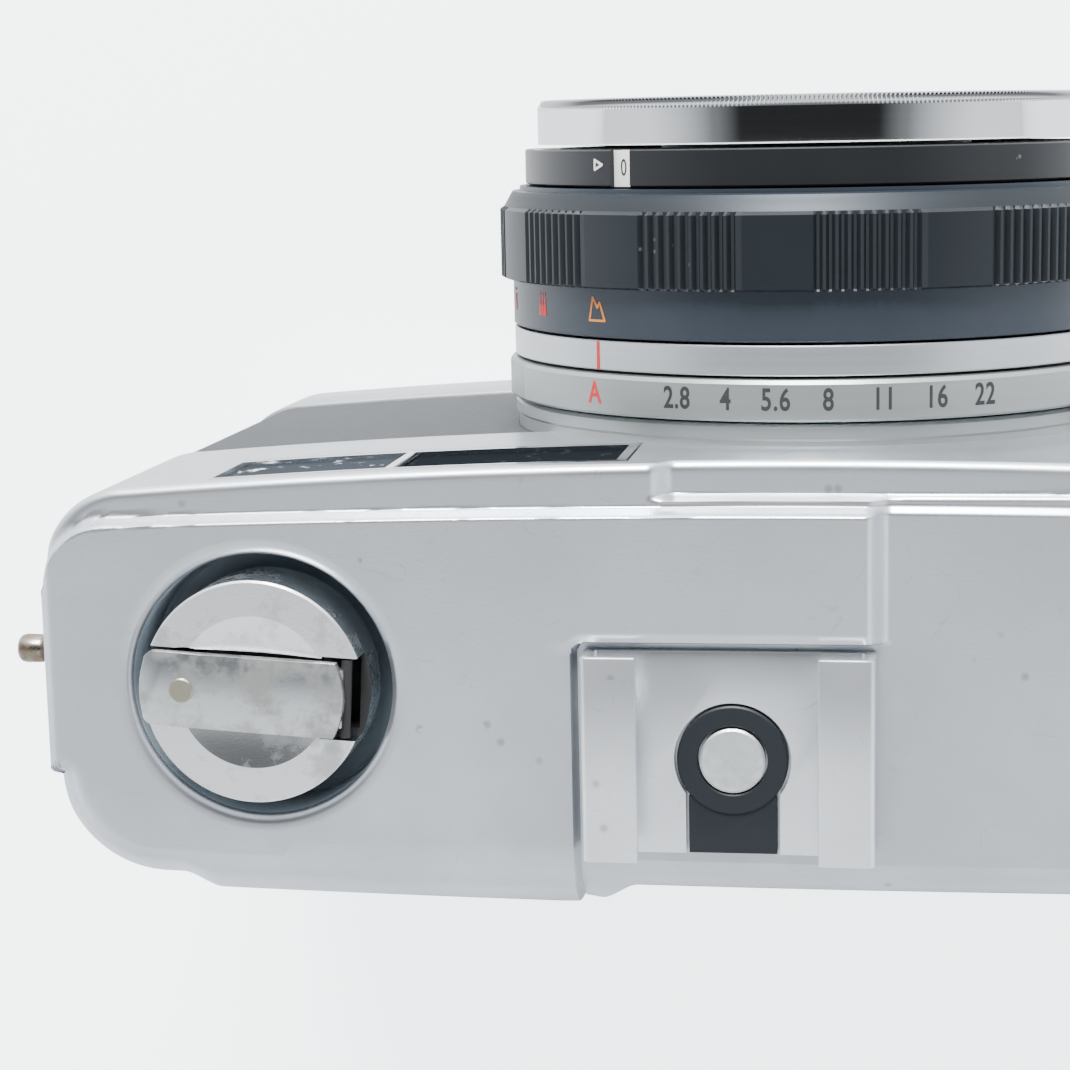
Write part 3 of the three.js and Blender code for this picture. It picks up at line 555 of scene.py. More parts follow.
# Flat black is the own colour of the lens cell, the finder tunnel and the shutter blades; on the rewind knob's sawn
# recesses and on the crank pin it is painted shade.
FLAT_BLACK_AND_SHADE = enamel("flat_black_and_painted_shade", (0.012, 0.012, 0.013), 0.7)
DIGIT_BLACK = enamel("digit_black", (0.02, 0.021, 0.022), 0.5)
DIGIT_RED = enamel("digit_red", (0.55, 0.02, 0.02), 0.5)
DIGIT_ORANGE = enamel("digit_orange", (0.72, 0.22, 0.02), 0.5)
DIGIT_WHITE = enamel("digit_white", (0.72, 0.72, 0.69), 0.5)
PALE_DIAL = enamel("pale_dial", (0.80, 0.80, 0.77), 0.45)
DOOR_PAINT = anodised("door_paint", (0.030, 0.031, 0.033), 0.45)
CAST_METAL = anodised("cast_alloy", (0.090, 0.092, 0.095), 0.6, 0.2)
SPRING_METAL = turned_metal("spring_steel", (0.62, 0.63, 0.64), 0.25, 1.0, 0.000003, 3000.0)
print("finishes made:", len(bpy.data.materials))

# %% [markdown]
# The covering is a grey leathercloth with fine slanted ribs, each about half a millimetre apart and
# broken up a little along its length. A band of waves on object coordinates gives the ribs, tilted
# so that they run across the front, and noise bends them. The tops of the ribs are painted paler:
# partly wear, partly a painted highlight where they catch the light.

# %% The covering, the glasses and the light cell
def covering():
    material, tree, shader = finish("leathercloth", (0.25, 0.26, 0.275), 0.0, 0.55, Specular_IOR_Level=0.15)
    where = object_place(tree)
    bend = noise(tree, where, 700.0, 2.0, 0.5)
    split = node(tree, "ShaderNodeSeparateXYZ", [("Vector", where)])
    across = math_node(tree, "MULTIPLY", split.outputs["X"], 0.55)
    run = math_node(
        tree, "ADD", math_node(tree, "ADD", split.outputs["Z"], across),
        math_node(tree, "MULTIPLY", bend, 0.00012)
    )
    wave = math_node(tree, "SINE", math_node(tree, "MULTIPLY", run, math.tau / 0.00062))
    ribs = ranged(tree, wave, -1.0, 1.0)
    short = math_node(
        tree, "SUBTRACT", split.outputs["X"], math_node(tree, "MULTIPLY", split.outputs["Z"], 1.7)
    )
    breaks = math_node(tree, "SINE", math_node(tree, "MULTIPLY", short, math.tau / 0.0021))
    notch = ranged(tree, breaks, -1.0, -0.7)
    height = math_node(tree, "MULTIPLY", ribs, ranged(tree, notch, 0.0, 1.0, 0.45, 1.0))
    fine = noise(tree, where, 9000.0, 2.0, 0.6)
    whole = math_node(tree, "ADD", height, math_node(tree, "MULTIPLY", fine, 0.12))
    # Rib tops paler than the hollows: partly wear, partly painted highlight.
    colour = tinted(tree, height, (0.020, 0.022, 0.025), (0.125, 0.132, 0.142))
    tree.links.new(colour, shader.inputs["Base Color"])
    bumped(tree, shader, whole, 0.00022, 1.0)
    return material


def clear_glass(name, tone, rough=0.02):
    material, tree, shader = finish(name, tone, 0.0, rough, Transmission_Weight=0.85, IOR=1.5)
    smear = noise(tree, object_place(tree), 160.0, 4.0, 0.6)
    tree.links.new(ranged(tree, smear, 0.45, 0.8, rough, rough + 0.12), shader.inputs["Roughness"])
    return material


def coated_glass(name, tone, tint):
    """A lens glass drawn opaque: its near-black colour is partly painted shade for the dark lens seen through it,
    and the coloured tint where it turns away is a painted reflection of the coating.
    """
    material, tree, shader = finish(
        name, tone, 0.0, 0.03, Coat_Weight=0.2, Coat_Roughness=0.02, Specular_IOR_Level=0.25
    )
    edge = node(tree, "ShaderNodeLayerWeight", [("Blend", 0.35)]).outputs["Facing"]
    # Painted reflection: the coating's colour is laid into the base colour where the surface turns away.
    tree.links.new(tinted(tree, edge, tone, tint), shader.inputs["Base Color"])
    return material


def finder_front():
    """The finder's front glass, set in a black tunnel, drawn as an opaque dark pane: partly the tunnel's own black,
    partly painted shade for the dark finder seen through the glass.
    """
    material, tree, shader = finish("finder_front", (0.008, 0.010, 0.012), 0.0, 0.25, Specular_IOR_Level=0.0)
    dust = noise(tree, object_place(tree), 900.0, 3.0, 0.6)
    tree.links.new(
        tinted(tree, ranged(tree, dust, 0.62, 0.8), (0.008, 0.010, 0.012), (0.06, 0.065, 0.07)),
        shader.inputs["Base Color"]
    )
    return material


def frosted_pane():
    """The pane that lights the bright-line frame: moulded plastic with a frosted back, dark grey in between."""
    material, tree, shader = finish("frosted_pane", (0.10, 0.11, 0.12), 0.0, 0.30, Specular_IOR_Level=0.0)
    cloud = noise(tree, object_place(tree), 330.0, 5.0, 0.65)
    mask = ranged(tree, cloud, 0.57, 0.66)
    tree.links.new(tinted(tree, mask, (0.035, 0.040, 0.046), (0.85, 0.87, 0.88)), shader.inputs["Base Color"])
    fine = noise(tree, object_place(tree), 2600.0, 2.0, 0.5)
    bumped(tree, shader, fine, 0.00004, 0.5)
    return material


def bead_window():
    """The clear ring over the light cell, moulded with small round beads that gather the light; the pale middle of
    each bead is a painted highlight.
    """
    material, tree, shader = finish(
        "bead_window", (0.30, 0.32, 0.33), 0.0, 0.12, Transmission_Weight=0.35, IOR=1.49
    )
    beads = node(
        tree, "ShaderNodeTexVoronoi", [("Vector", object_place(tree)), ("Scale", 720.0)]
    ).outputs["Distance"]
    dome = ranged(tree, beads, 0.0, 0.6, 1.0, 0.0)
    # Each bead is painted pale in its middle and dark at its rim: a painted highlight on every bead.
    tree.links.new(tinted(tree, dome, (0.16, 0.17, 0.18), (0.55, 0.57, 0.58)), shader.inputs["Base Color"])
    bumped(tree, shader, dome, 0.0003, 0.8)
    return material


def cell_face():
    material, tree, shader = finish("cell_face", (0.20, 0.17, 0.12), 0.3, 0.4)
    speckle = noise(tree, object_place(tree), 2400.0, 3.0, 0.6)
    tree.links.new(tinted(tree, speckle, (0.10, 0.08, 0.06), (0.30, 0.26, 0.20)), shader.inputs["Base Color"])
    return material


COVERING, CLEAR = covering(), clear_glass("window_glass", (0.82, 0.86, 0.88))
LENS_GLASS = coated_glass("coated_glass", (0.006, 0.008, 0.012), (0.10, 0.05, 0.16))
FINDER_GLASS = finder_front()
FROSTED, BEADS, CELL = frosted_pane(), bead_window(), cell_face()

# %% [markdown]
# ## The top cover
# The real cover is pressed from one sheet, so every step on it is soft: a ledge in front, a lower
# channel beside it, an S-shaped step down to the low side, a rounded pocket for the accessory shoe
# and a shoulder along the rear. Cutting blocks and bevelling them would give hard corners that meet
# badly. A fine grid, laid to follow the front and the rear edges and then raised to the height of
# the pressing, keeps all those steps soft, and it is closed by extruding its rim downwards.

# %% The plan of the covers
def front_line(x):
    return FRONT_Y + x * x / FRONT_BOW


def rear_line(x):
    return REAR_Y - x * x / REAR_BOW


def arc(cx, cy, radius, start, stop, steps):
    angles = [math.radians(start + (stop - start) * i / steps) for i in range(steps + 1)]
    return [(cx + radius * math.cos(a), cy + radius * math.sin(a)) for a in angles]


FRONT_END, REAR_END = HALF_LENGTH - FRONT_CORNER, HALF_LENGTH - REAR_CORNER
FRONT_CENTRE = front_line(FRONT_END) + FRONT_CORNER
REAR_CENTRE = rear_line(REAR_END) - REAR_CORNER


def plan(inset, count=24, turn=16):
    front = [(FRONT_END * i / count, front_line(FRONT_END * i / count) + inset) for i in range(1 - count, count)]
    rear = [(REAR_END * i / count, rear_line(REAR_END * i / count) - inset) for i in range(count - 1, -count, -1)]
    return (
        front
        + arc(FRONT_END, FRONT_CENTRE, FRONT_CORNER - inset, -88, 0, turn)
        + arc(REAR_END, REAR_CENTRE, REAR_CORNER - inset, 0, 88, turn)
        + rear
        + arc(-REAR_END, REAR_CENTRE, REAR_CORNER - inset, 92, 180, turn)
        + arc(-FRONT_END, FRONT_CENTRE, FRONT_CORNER - inset, 180, 268, turn)
    )


# %% The heights of the pressing
DECK_CORNER = 5.2
DECK_END = HALF_LENGTH + 0.1 - DECK_CORNER
BULGE = (11.6, 14.2, 42.0, 45.0)


def bulge(x):
    """The finder stands a little out of the rear."""
    return 1.05 * ease((x - BULGE[0]) / (BULGE[1] - BULGE[0])) * (1 - ease((x - BULGE[2]) / (BULGE[3] - BULGE[2])))


def front_edge(x):
    """The front outline, with its round corners."""
    far = abs(x) - FRONT_END
    if far <= 0:
        return front_line(x)
    return FRONT_CENTRE - math.sqrt(max(0.0, FRONT_CORNER**2 - min(far, FRONT_CORNER) ** 2))


def rear_edge(x):
    far = abs(x) - REAR_END
    if far <= 0:
        return rear_line(x) + bulge(x)
    return REAR_CENTRE + math.sqrt(max(0.0, REAR_CORNER**2 - min(far, REAR_CORNER) ** 2))


def deck_depth(x, y):
    """How far a point lies inside the raised deck's front edge."""
    line_y = -12.75 + x * x / 2600
    corner_y = -12.75 + DECK_END * DECK_END / 2600 + DECK_CORNER
    if abs(x) > DECK_END and y < corner_y:
        return DECK_CORNER - math.hypot(abs(x) - DECK_END, y - corner_y)
    return y - line_y


def outline_depth(x, y):
    """How far a point lies inside the plan, in front, at the ends, and behind."""
    ahead = y - front_line(x)
    if abs(x) > FRONT_END and y < FRONT_CENTRE:
        ahead = FRONT_CORNER - math.hypot(abs(x) - FRONT_END, y - FRONT_CENTRE)
    behind = rear_line(x) + bulge(x) - y
    if abs(x) > REAR_END and y > REAR_CENTRE:
        behind = REAR_CORNER - math.hypot(abs(x) - REAR_END, y - REAR_CENTRE)
    return ahead, HALF_LENGTH - abs(x), behind


def rounded(depth, radius):
    """How far a rounded edge of that radius has dropped at a point that lies so deep inside the edge."""
    if depth >= radius:
        return 0.0
    reach = radius - max(depth, 0.0)
    return radius - math.sqrt(max(0.0, radius * radius - reach * reach))


POCKET_X, POCKET_Y, POCKET_CORNER = 15.6, -3.3, 0.9


def pocket_depth(x, y):
    """How far a point lies inside the pocket of the accessory shoe, whose front corner is round."""
    from_side, from_front = POCKET_X - x, y - POCKET_Y
    if from_side < POCKET_CORNER and from_front < POCKET_CORNER:
        return POCKET_CORNER - math.hypot(POCKET_CORNER - from_side, POCKET_CORNER - from_front)
    return min(from_side, from_front)


def pressed_height(x, y):
    low_side = ease((-4.7 - x) / 1.7)
    deck = HIGH + (LOW - HIGH) * low_side
    thin_ledge = LEDGE + (60.95 - LEDGE) * low_side
    channel_end = ease((10.3 - x) / 1.9)
    level = LEDGE + (CHANNEL - LEDGE) * channel_end
    level += (thin_ledge - level) * ease((y + 13.55) / 0.4)
    level += (deck - level) * ease((deck_depth(x, y) + 0.12) / 0.7)
    if x > -7:
        inside = ease((pocket_depth(x, y) + 0.06) / 0.22)
        lip = 0.16 * ease((pocket_depth(x, y) + 0.75) / 0.75)
        level += (LOW - level) * inside if level > LOW else 0.0
        level -= lip * (1 - inside) * (1 - low_side) if y > POCKET_Y - 1.5 and x < POCKET_X + 1.5 else 0.0
    ahead, side, behind = outline_depth(x, y)
    low_rear = ease((15.9 - x) / 2.2)
    crease = 2.35 + bulge(x) * 0.75
    if behind < crease:
        share = 1 - max(behind, 0.0) / crease
        level = min(level, HIGH + (LOW - HIGH) * low_rear) - (2.6 - 0.7 * low_rear) * share**1.7 - 0.05
    level -= rounded(ahead, 0.75) + rounded(side, 1.0)
    return level


# %% Laying the grid
def stations(low, high, coarse, fine_spans):
    """Stations from low to high, closer together inside the fine spans, each (from, to, step)."""
    found, at = [low], low
    while at < high - 1e-6:
        step = min([s for a, b, s in fine_spans if a - 1e-6 <= at < b] + [coarse])
        nearest = [a for a, b, s in fine_spans if at < a < at + step]
        at = min(nearest) if nearest else min(at + step, high)
        found.append(at)
    return found


end_arc = [HALF_LENGTH - FRONT_CORNER * (1 - math.cos(math.radians(a))) for a in range(90, 0, -5)]
across = stations(
    -47.4, 47.4, 0.9,
    [(-7.2, -4.2, 0.22), (7.9, 10.8, 0.22), (14.4, 15.9, 0.11), (11.4, 14.4, 0.3), (41.9, 45.2, 0.4)]
)
ends = [x for x in end_arc if x > 47.5] + [HALF_LENGTH - 0.002]
columns = [-x for x in reversed(ends)] + across + ends
rows_front = [0.02, 0.1, 0.2, 0.32, 0.46, 0.62, 0.8, 1.1, 1.5, 1.9, 2.15, 2.25, 2.35, 2.45, 2.55, 2.7, 2.85, 2.95, 3.05, 3.15, 3.25,
              3.35, 3.45, 3.55, 3.65, 3.75, 3.85, 3.95, 4.1, 4.3]
rows_middle = stations(-11.2, 11.2, 0.9, [(-4.3, -3.0, 0.11), (-3.0, -2.2, 0.2)])
rows_rear = [
    3.3, 3.0, 2.75, 2.6, 2.5, 2.4, 2.3, 2.2, 2.1, 2.0, 1.85, 1.7, 1.5, 1.3, 1.1, 0.9, 0.7, 0.5, 0.3,
    0.15, 0.02
]


def row_places(x):
    """The y of every grid row at x: front rows follow the front edge, rear rows the rear edge."""
    low, high = front_edge(x), rear_edge(x)
    ahead = [low + d for d in rows_front]
    behind = [high - d for d in rows_rear]
    start, stop = ahead[-1], behind[0]
    if stop - start > 6:
        span = rows_middle[-1] - rows_middle[0]
        squeeze_front = start - (front_line(0) + rows_front[-1])
        middle = []
        for y in rows_middle:
            if -5 < y < -1.5 and start < -5.2:
                middle.append(y)
            else:
                share = (y - rows_middle[0]) / span
                middle.append(y if start < -10.5 and stop > 10.5 else start + 0.2 + share * (stop - start - 0.4))
        middle = sorted(min(max(y, start + 0.05), stop - 0.05) for y in middle)
    else:
        middle = [start + (stop - start) * (i + 1) / (len(rows_middle) + 1) for i in range(len(rows_middle))]
    return ahead + middle + behind


row_count = len(rows_front) + len(rows_middle) + len(rows_rear)
clear()
bpy.ops.mesh.primitive_grid_add(x_subdivisions=len(columns) - 1, y_subdivisions=row_count - 1, size=1)
cover = bpy.context.object
cover.name = "top_cover_pressing"
places = [row_places(x) for x in columns]
for i, v in enumerate(cover.data.vertices):
    column = round((v.co.x + 0.5) * (len(columns) - 1))
    row = round((v.co.y + 0.5) * (row_count - 1))
    x, y = columns[column], places[column][row]
    v.co = (x, y, pressed_height(x, y))
print("grid:", len(columns), "columns,", row_count, "rows")

# %% [markdown]
# The rim of the grid is extruded down to the cover's lower edge and closed there. Then one set of
# tools is cut out of it: the hollow, the well of the rewind knob, the two finder windows, the
# eyepiece, the slot of the thumb wheel and the holes of the button and the counter. The well's own
# soft lip is turned, and replaces a ring of the plate.

# %% Closing and opening the cover
edit(cover, "EDGE")
bpy.ops.mesh.select_non_manifold()
bpy.ops.mesh.extrude_region_move(TRANSFORM_OT_translate={"value": (0, 0, -1)})
done()
rim = [v for v in cover.data.vertices if v.index >= len(columns) * row_count]
for v in rim:
    v.co.z = COVER_EDGE
edit(cover, "EDGE")
bm = bmesh.from_edit_mesh(cover.data)
for e in bm.edges:
    e.select_set(all(abs(v.co.z - COVER_EDGE) < 1e-4 for v in e.verts))
bmesh.update_edit_mesh(cover.data)
bpy.ops.mesh.edge_face_add()
done()
outward(cover, 0.0005)
# One tool for what lies apart, then the hollow and the steps that meet it.
WELL_EDGE = 10.6
well = turned(
    "well_tool", [(0, 56.5), (WELL_EDGE, 56.5), (WELL_EDGE, 70), (0, 70)], 128, "Z",
    (REWIND_X, 0, 0), hollow=False
)
openings = joined(
    "openings_tool", well,
    box("windows_tool", (11.7, 41.7), (-20, -10.7), (50.9, 60.5)),
    box("eyepiece_tool", (16.4, 24.6), (11, 20), (53.2, 58.4)),
    box("wheel_tool", (-48.4, -27.6), (8, 20), (52.7, 55.9)),
    rod("button_tool", 4.6, -34, -5.5, 55, 70), rod("counter_tool", 4.5, -25.5, 4.6, 55, 70),
)
carve(cover, openings)
carve(cover, plate("hollow_tool", plan(1.2), 40, 58.4))
carve(cover, box("rear_tool", (-70, 70), (8.6, 40), (30, REAR_EDGE)))
carve(cover, box("eyepiece_seat_tool", (15.4, 25.6), (15.0, 20), (51.9, 59.1)))
carve(cover, lens_rod("lens_tool", 24.1, -30, -13))
lip = [
    (WELL_EDGE, HIGH), (
        10.15, HIGH - 0.01
    ), (9.9, HIGH - 0.06), (9.7, HIGH - 0.16), (9.55, HIGH - 0.32), (9.46, HIGH - 0.6),
    (9.45, HIGH - 0.9), (9.45, 57.3), (9.15, 57.0), (2.7, 57.0), (2.7, 56.2), (WELL_EDGE, 56.2),
]
well_lip = turned("well_lip", lip, 128, "Z", (REWIND_X, 0, 0))
cover = joined("top_cover_pressing", cover, well_lip)
place(cover, "chassis", [SATIN, WELL_PAINTED_SHADE], ["top_cover"], angle=38)
# The wall and floor of the well take the painted shade finish, for the shadow in the well.
for face in cover.data.polygons:
    middle = face.center / MM
    if math.hypot(middle.x - REWIND_X, middle.y - DEPTH_SHIFT) < 9.75 and middle.z < 62.5:
        face.material_index = 1

# %% [markdown]
# ## Base cover and covering
# The base is a shallow pressed tray with a soft lower edge. It is the same plan as the top cover,
# filled and extruded, and its lower edge is bevelled before the tray is hollowed. The covering is a
# thin band between the two covers, cut into a piece for each side of the lens, and a third piece
# goes round the door.

# %% Base cover
base = plate("base_cover_tray", plan(0), 0, BASE_TOP)
select(base, "EDGE", lambda p, d: p.z < 0.001)
bpy.ops.mesh.bevel(offset=0.9, segments=5, profile=0.5)
done()
select(base, "EDGE", lambda p, d: p.z > BASE_TOP - 0.001)
bpy.ops.mesh.bevel(offset=0.25, segments=2, profile=0.5)
done()
carve(base, plate("base_hollow_tool", plan(1.0), 1.4, 30))
carve(base, box("base_rear_tool", (-70, 70), (8.6, 40), (BASE_REAR, 40)))
carve(base, lens_rod("base_lens_tool", 24.1, -30, -13))
holes = [rod("tripod_tool", 6.7, 0, 0, -1, 4), rod("release_tool", 2.8, -14, 4, -1, 4)]
holes += [rod("screw_tool", 2.5, side * 47, 0, -1, 3) for side in (-1, 1)]
carve(base, joined("base_holes_tool", *holes))
place(base, "chassis", BASE_SATIN, ["base_cover"], angle=38)


# %% Covering
def band(name, outer, inner, low, high):
    made = plate(name, plan(outer), low, high)
    return carve(made, plate("band_tool", plan(inner), low - 1, high + 1))


skin = band("covering_front", 0.3, 1.1, BASE_TOP + 0.2, COVER_EDGE - 0.2)
carve(skin, lens_rod("skin_lens_tool", 24.1, -30, 0))
right_skin = copy_of(skin, "covering_front_right")
carve(right_skin, box("side_tool", (-70, 0), (-40, 40), (-5, 80)))
carve(right_skin, box("wrap_tool", (-1, 70), (8.3, 40), (-5, 80)))
carve(right_skin, box("latch_tool", (50, 60), (5, 7.2), (22, 32)))
carve(skin, box("side_tool", (0, 70), (-40, 40), (-5, 80)))
carve(skin, box("wrap_tool", (-70, 1), (6.4, 40), (-5, 80)))
skin.name = "covering_front_left"
door_skin = band("covering_door", 0.2, 0.9, 4.3, 46.8)
carve(door_skin, box("door_tool", (-51, 53), (9.2, 40), (-5, 80)), "INTERSECT")
for piece, body, cad in (
    (right_skin, "chassis", "front_skin_right"), (skin, "chassis", "front_skin_left"),
    (door_skin, "back_door", "back_door_skin")
):
    bevelled(piece, 0.12, 2, 50)
    place(piece, body, COVERING, [cad])

# %% [markdown]
# ## Finder windows
# A bright bezel frames two panes: a frosted one that lights the frame lines, and the clear front
# glass of the finder, drawn as a dark pane that is partly painted shade. Each is drawn flat, sliced
# into short lengths, and then bowed to the front of the body, so that its edges follow the curve.
# The bezel stands a tenth of a millimetre proud.


# %% Windows
def bowed(obj):
    """Slices a flat piece across its length and bends it to the front of the body."""
    xs = [v.co.x for v in obj.data.vertices]
    edit(obj)
    for i in range(1, 12):
        at = min(xs) + (max(xs) - min(xs)) * i / 12
        bpy.ops.mesh.select_all(action="SELECT")
        bpy.ops.mesh.bisect(plane_co=(at, 0, 0), plane_no=(1, 0, 0))
    done()
    for v in obj.data.vertices:
        v.co.y += v.co.x**2 / FRONT_BOW
    return obj


DIVIDER, PANE_LOW, PANE_HIGH = 28.8, 52.0, 59.6
bezel = box("window_bezel_frame", (11.9, 43.0), (FRONT_Y + 0.02, FRONT_Y + 1.1), (51.1, 60.3))
panes = joined(
    "panes_tool", box("pane_a", (DIVIDER + 0.3, 42.4), (-20, -10), (PANE_LOW - 0.2, PANE_HIGH + 0.2)),
    box("pane_b", (12.6, DIVIDER - 0.3), (-20, -10), (PANE_LOW - 0.2, PANE_HIGH + 0.2)),
)
carve(bezel, panes)
bevelled(bezel, 0.1, 2, 50)
place(bowed(bezel), "chassis", CHROME, ["window_bezel"])
for label, span, look_of, cad in (
    ("brightline_pane", (DIVIDER + 0.4, 42.3), FROSTED, "brightline_window"),
    ("finder_pane", (12.7, DIVIDER - 0.4), FINDER_GLASS, "finder_front_glass"),
):
    pane = box(label, span, (FRONT_Y + 0.4, FRONT_Y + 1.1), (PANE_LOW - 0.1, PANE_HIGH + 0.1))
    bevelled(pane, 0.12, 2, 50)
    place(bowed(pane), "chassis", look_of, [cad])

eyepiece = box("eyepiece_surround", (15.6, 25.4), (15.2, 16.2), (52.1, 58.9))
select(eyepiece, "FACE", lambda p, n: n.y > 0.9)
bpy.ops.mesh.inset(thickness=1.1, depth=-0.35)
done()
carve(eyepiece, box("eyehole_tool", (17, 24), (10, 20), (53.6, 57.6)))
bevelled(eyepiece, 0.2, 3, 50)
place(eyepiece, "chassis", SOFT_BLACK, ["eyepiece_frame"])

# %% [markdown]
# ## The lens
# Every ring of the lens is turned: a short profile is spun about the lens axis. The rings differ in
# what is cut into them. The focus grip has twelve groups of about nine straight ribs with plain
# lands between them, the aperture ring has a fine serrated grip on one side, and the filter ring's
# front edge is finely knurled. Each is cut by drawing in every other point of the spun rim, which
# costs no more faces than a plain ring.


# %% Ring helpers
def lens_angle(p):
    """Degrees round the lens axis from straight up, positive towards -X."""
    return math.degrees(math.atan2(-p.x, p.z - LENS_Z))


def draw_in(obj, depth, test):
    """Moves the points that pass the test towards the lens axis."""
    for v in obj.data.vertices:
        if test(v.co, lens_angle(v.co)):
            reach = math.hypot(v.co.x, v.co.z - LENS_Z)
            share = (reach - depth) / reach
            v.co.x *= share
            v.co.z = LENS_Z + (v.co.z - LENS_Z) * share
    return obj


def tooth(angle, pitch):
    """Which quarter of a tooth an angle falls in."""
    return int(math.floor((angle % 360) / pitch * 4 + 0.01)) % 4


# %% Collar, aperture ring and index ring
collar_profile = [
    (20.6, -17.4), (24.05, -17.4), (24.3, -17.15), (24.3, -16.35), (24.1, -16.15), (24.1, -13.5),
    (18.8, -13.5), (18.8, -16.2), (20.6, -16.2),
]
collar = turned("lens_mount_collar", collar_profile, 180)
place(collar, "chassis", CREAM_RING, ["lens_base_collar", "lens_base_plate"])

APERTURE_R = 24.72
ring_profile = [
    (20.6, -20.65), (24.2, -20.65), (24.5, -20.58), (APERTURE_R, -20.3), (APERTURE_R, -17.8),
    (24.5, -17.6), (20.6, -17.6)
]
aperture = turned("aperture_ring_turned", ring_profile, 720)
draw_in(
    aperture, 0.14, lambda p,
    a: math.hypot(p.x, p.z - LENS_Z) > 24.6 and -104 < a < -63.5 and tooth(a, 2.0) in (2, 3)
)
place(aperture, "aperture_ring", CREAM_RING, ["aperture_ring"])

index_profile = [
    (20.6, -23.05), (24.2, -23.05), (24.3, -22.95), (24.3, -20.95), (24.2, -20.85), (20.6, -20.85)
]
place(turned("index_ring_turned", index_profile, 180), "chassis", INDEX_METAL, ["index_ring"])

# %% Focus ring with its ribbed grip
GRIP_R = 25.3
grip_profile = [
    (20.6, -23.25), (24.25, -23.25), (24.35, -23.35), (24.35, -26.9), (24.95, -26.9), (
        GRIP_R, -27.05
    ), (GRIP_R, -32.3),
    (24.95, -32.55), (24.3, -33.7), (23.7, -33.8), (23.7, -34.1), (20.6, -34.1),
]
focus = turned("focus_ring_turned", grip_profile, 720)


GROUP_ANGLE = 11.2


def in_rib_group(angle):
    return abs((angle - GROUP_ANGLE + 15) % 30 - 15) < 9.2


draw_in(
    focus, 0.42, lambda p,
    a: math.hypot(p.x, p.z - LENS_Z) > 25.0 and in_rib_group(a) and tooth(a - GROUP_ANGLE, 2.0) in (2, 3)
)
place(
    focus, "focus_ring", [SLEEVE_DARK, GRIP_DARK, GRIP_LAND, GRIP_EDGE_HIGHLIGHT],
    ["focus_ring"], angle=24
)
# The rear bevel takes the grip edge finish, a painted highlight on metal that is the sleeve's own anodising.
for f in focus.data.polygons:
    middle = f.center / MM
    middle.y -= DEPTH_SHIFT
    on_grip = -32.45 < middle.y < -26.85 and math.hypot(middle.x, middle.z - LENS_Z) > 24.4
    f.material_index = (1 if in_rib_group(lens_angle(middle)) else 2) if on_grip else 0
    if -33.75 < middle.y < -32.45:
        f.material_index = 3

# %% Film speed ring, its scale, and the filter ring
SPEED_ANGLE = -35.5
speed = turned(
    "film_speed_ring_turned",
    [(22.8, -36.95), (23.1, -36.95), (23.2, -36.85), (23.2, -34.35), (23.1, -34.25), (22.8, -34.25)],
    180
)
slot_tool = box("speed_slot_tool", (-0.95, 0.95), (-37.2, -34.0), (LENS_Z + 20, LENS_Z + 28))
bevelled(slot_tool, 0.3, 3, 50)
slot_tool.data.transform(about("Y", -SPEED_ANGLE, (0, 0, LENS_Z)))
carve(speed, slot_tool)
place(speed, "film_speed_ring", RING_BLACK, ["film_speed_ring"])
place(
    turned("film_speed_scale_turned", [(20.6, -36.9), (22.75, -36.9), (22.75, -34.25), (20.6, -34.25)], 180),
    "chassis", PALE_DIAL, ["film_speed_scale"]
)

filter_profile = [
    (20.6, -37.25), (
        22.05, -37.25
    ), (22.15, -37.35), (22.15, -39.85), (22.15, -40.15), (21.95, -40.45), (21.9, -40.66), (21.75, -40.7),
    (21.5, -40.7), (21.45, -40.6), (21.45, -38.6), (20.6, -38.6),
]
filter_ring = turned("filter_ring_turned", filter_profile, 840)
draw_in(filter_ring, 0.16, lambda p, a: -40.5 < p.y < -40.1 and tooth(a, 360 / 420) in (2, 3))
place(filter_ring, "chassis", CHROME, ["filter_ring"], angle=40)

# %% Cell window, name ring and glasses
window = turned(
    "bead_ring",
    [(12.6, -37.2), (12.6, -37.9), (14.5, -38.12), (16.5, -38.2), (18.5, -38.12), (20.4, -37.9), (20.4, -37.2)],
    144
)
bead = turned(
    "bead", [(0, -38.42), (0.32, -38.36), (0.5, -38.2), (0.55, -38.0), (0, -37.95)], 10,
    hollow=False
)
beads = []
for row, count in ((13.5, 66), (14.9, 73), (16.3, 80), (17.7, 87), (19.1, 94)):
    for i in range(count):
        lift = Matrix.Translation((0, 0, row))
        beads.append(copy_of(bead, "bead", about("Y", 360 * i / count, (0, 0, LENS_Z)) @ lift))
bpy.data.objects.remove(bead)
place(joined("bead_ring", window, *beads), "chassis", BEADS, ["cell_window"], angle=50)
names = turned(
    "front_trim_ring",
    [(8.7, -36.9), (8.7, -37.4), (8.85, -37.5), (12.1, -38.35), (12.3, -38.3), (12.3, -36.9)], 128
)
place(names, "chassis", RING_BLACK, ["name_ring"])
steps = [(7.4, -33.6)] + [pair for k in range(8) for pair in ((7.4 + 0.06 * k, -33.9 - 0.4 * k), (7.46 + 0.06 * k, -34.1 - 0.4 * k))]
barrel = [
    (6.3, -23.6), (8.3, -23.6), (8.3, -37.05), (8.15, -37.2), (7.95, -37.2)
] + [(r, h) for r, h in reversed(steps)] + [(6.3, -33.6)]
place(turned("lens_cell_stepped", barrel, 96), "lens_cell", FLAT_BLACK_AND_SHADE, ["lens_cell"])
dome = [(7.1 * i / 12, -35.8 - 1.1 * (1 - (i / 12) ** 2)) for i in range(13)]
place(
    turned("front_glass", dome + [(7.1, -33.9), (0, -33.5)], 96, hollow=False), "lens_cell",
    LENS_GLASS, ["front_element"]
)

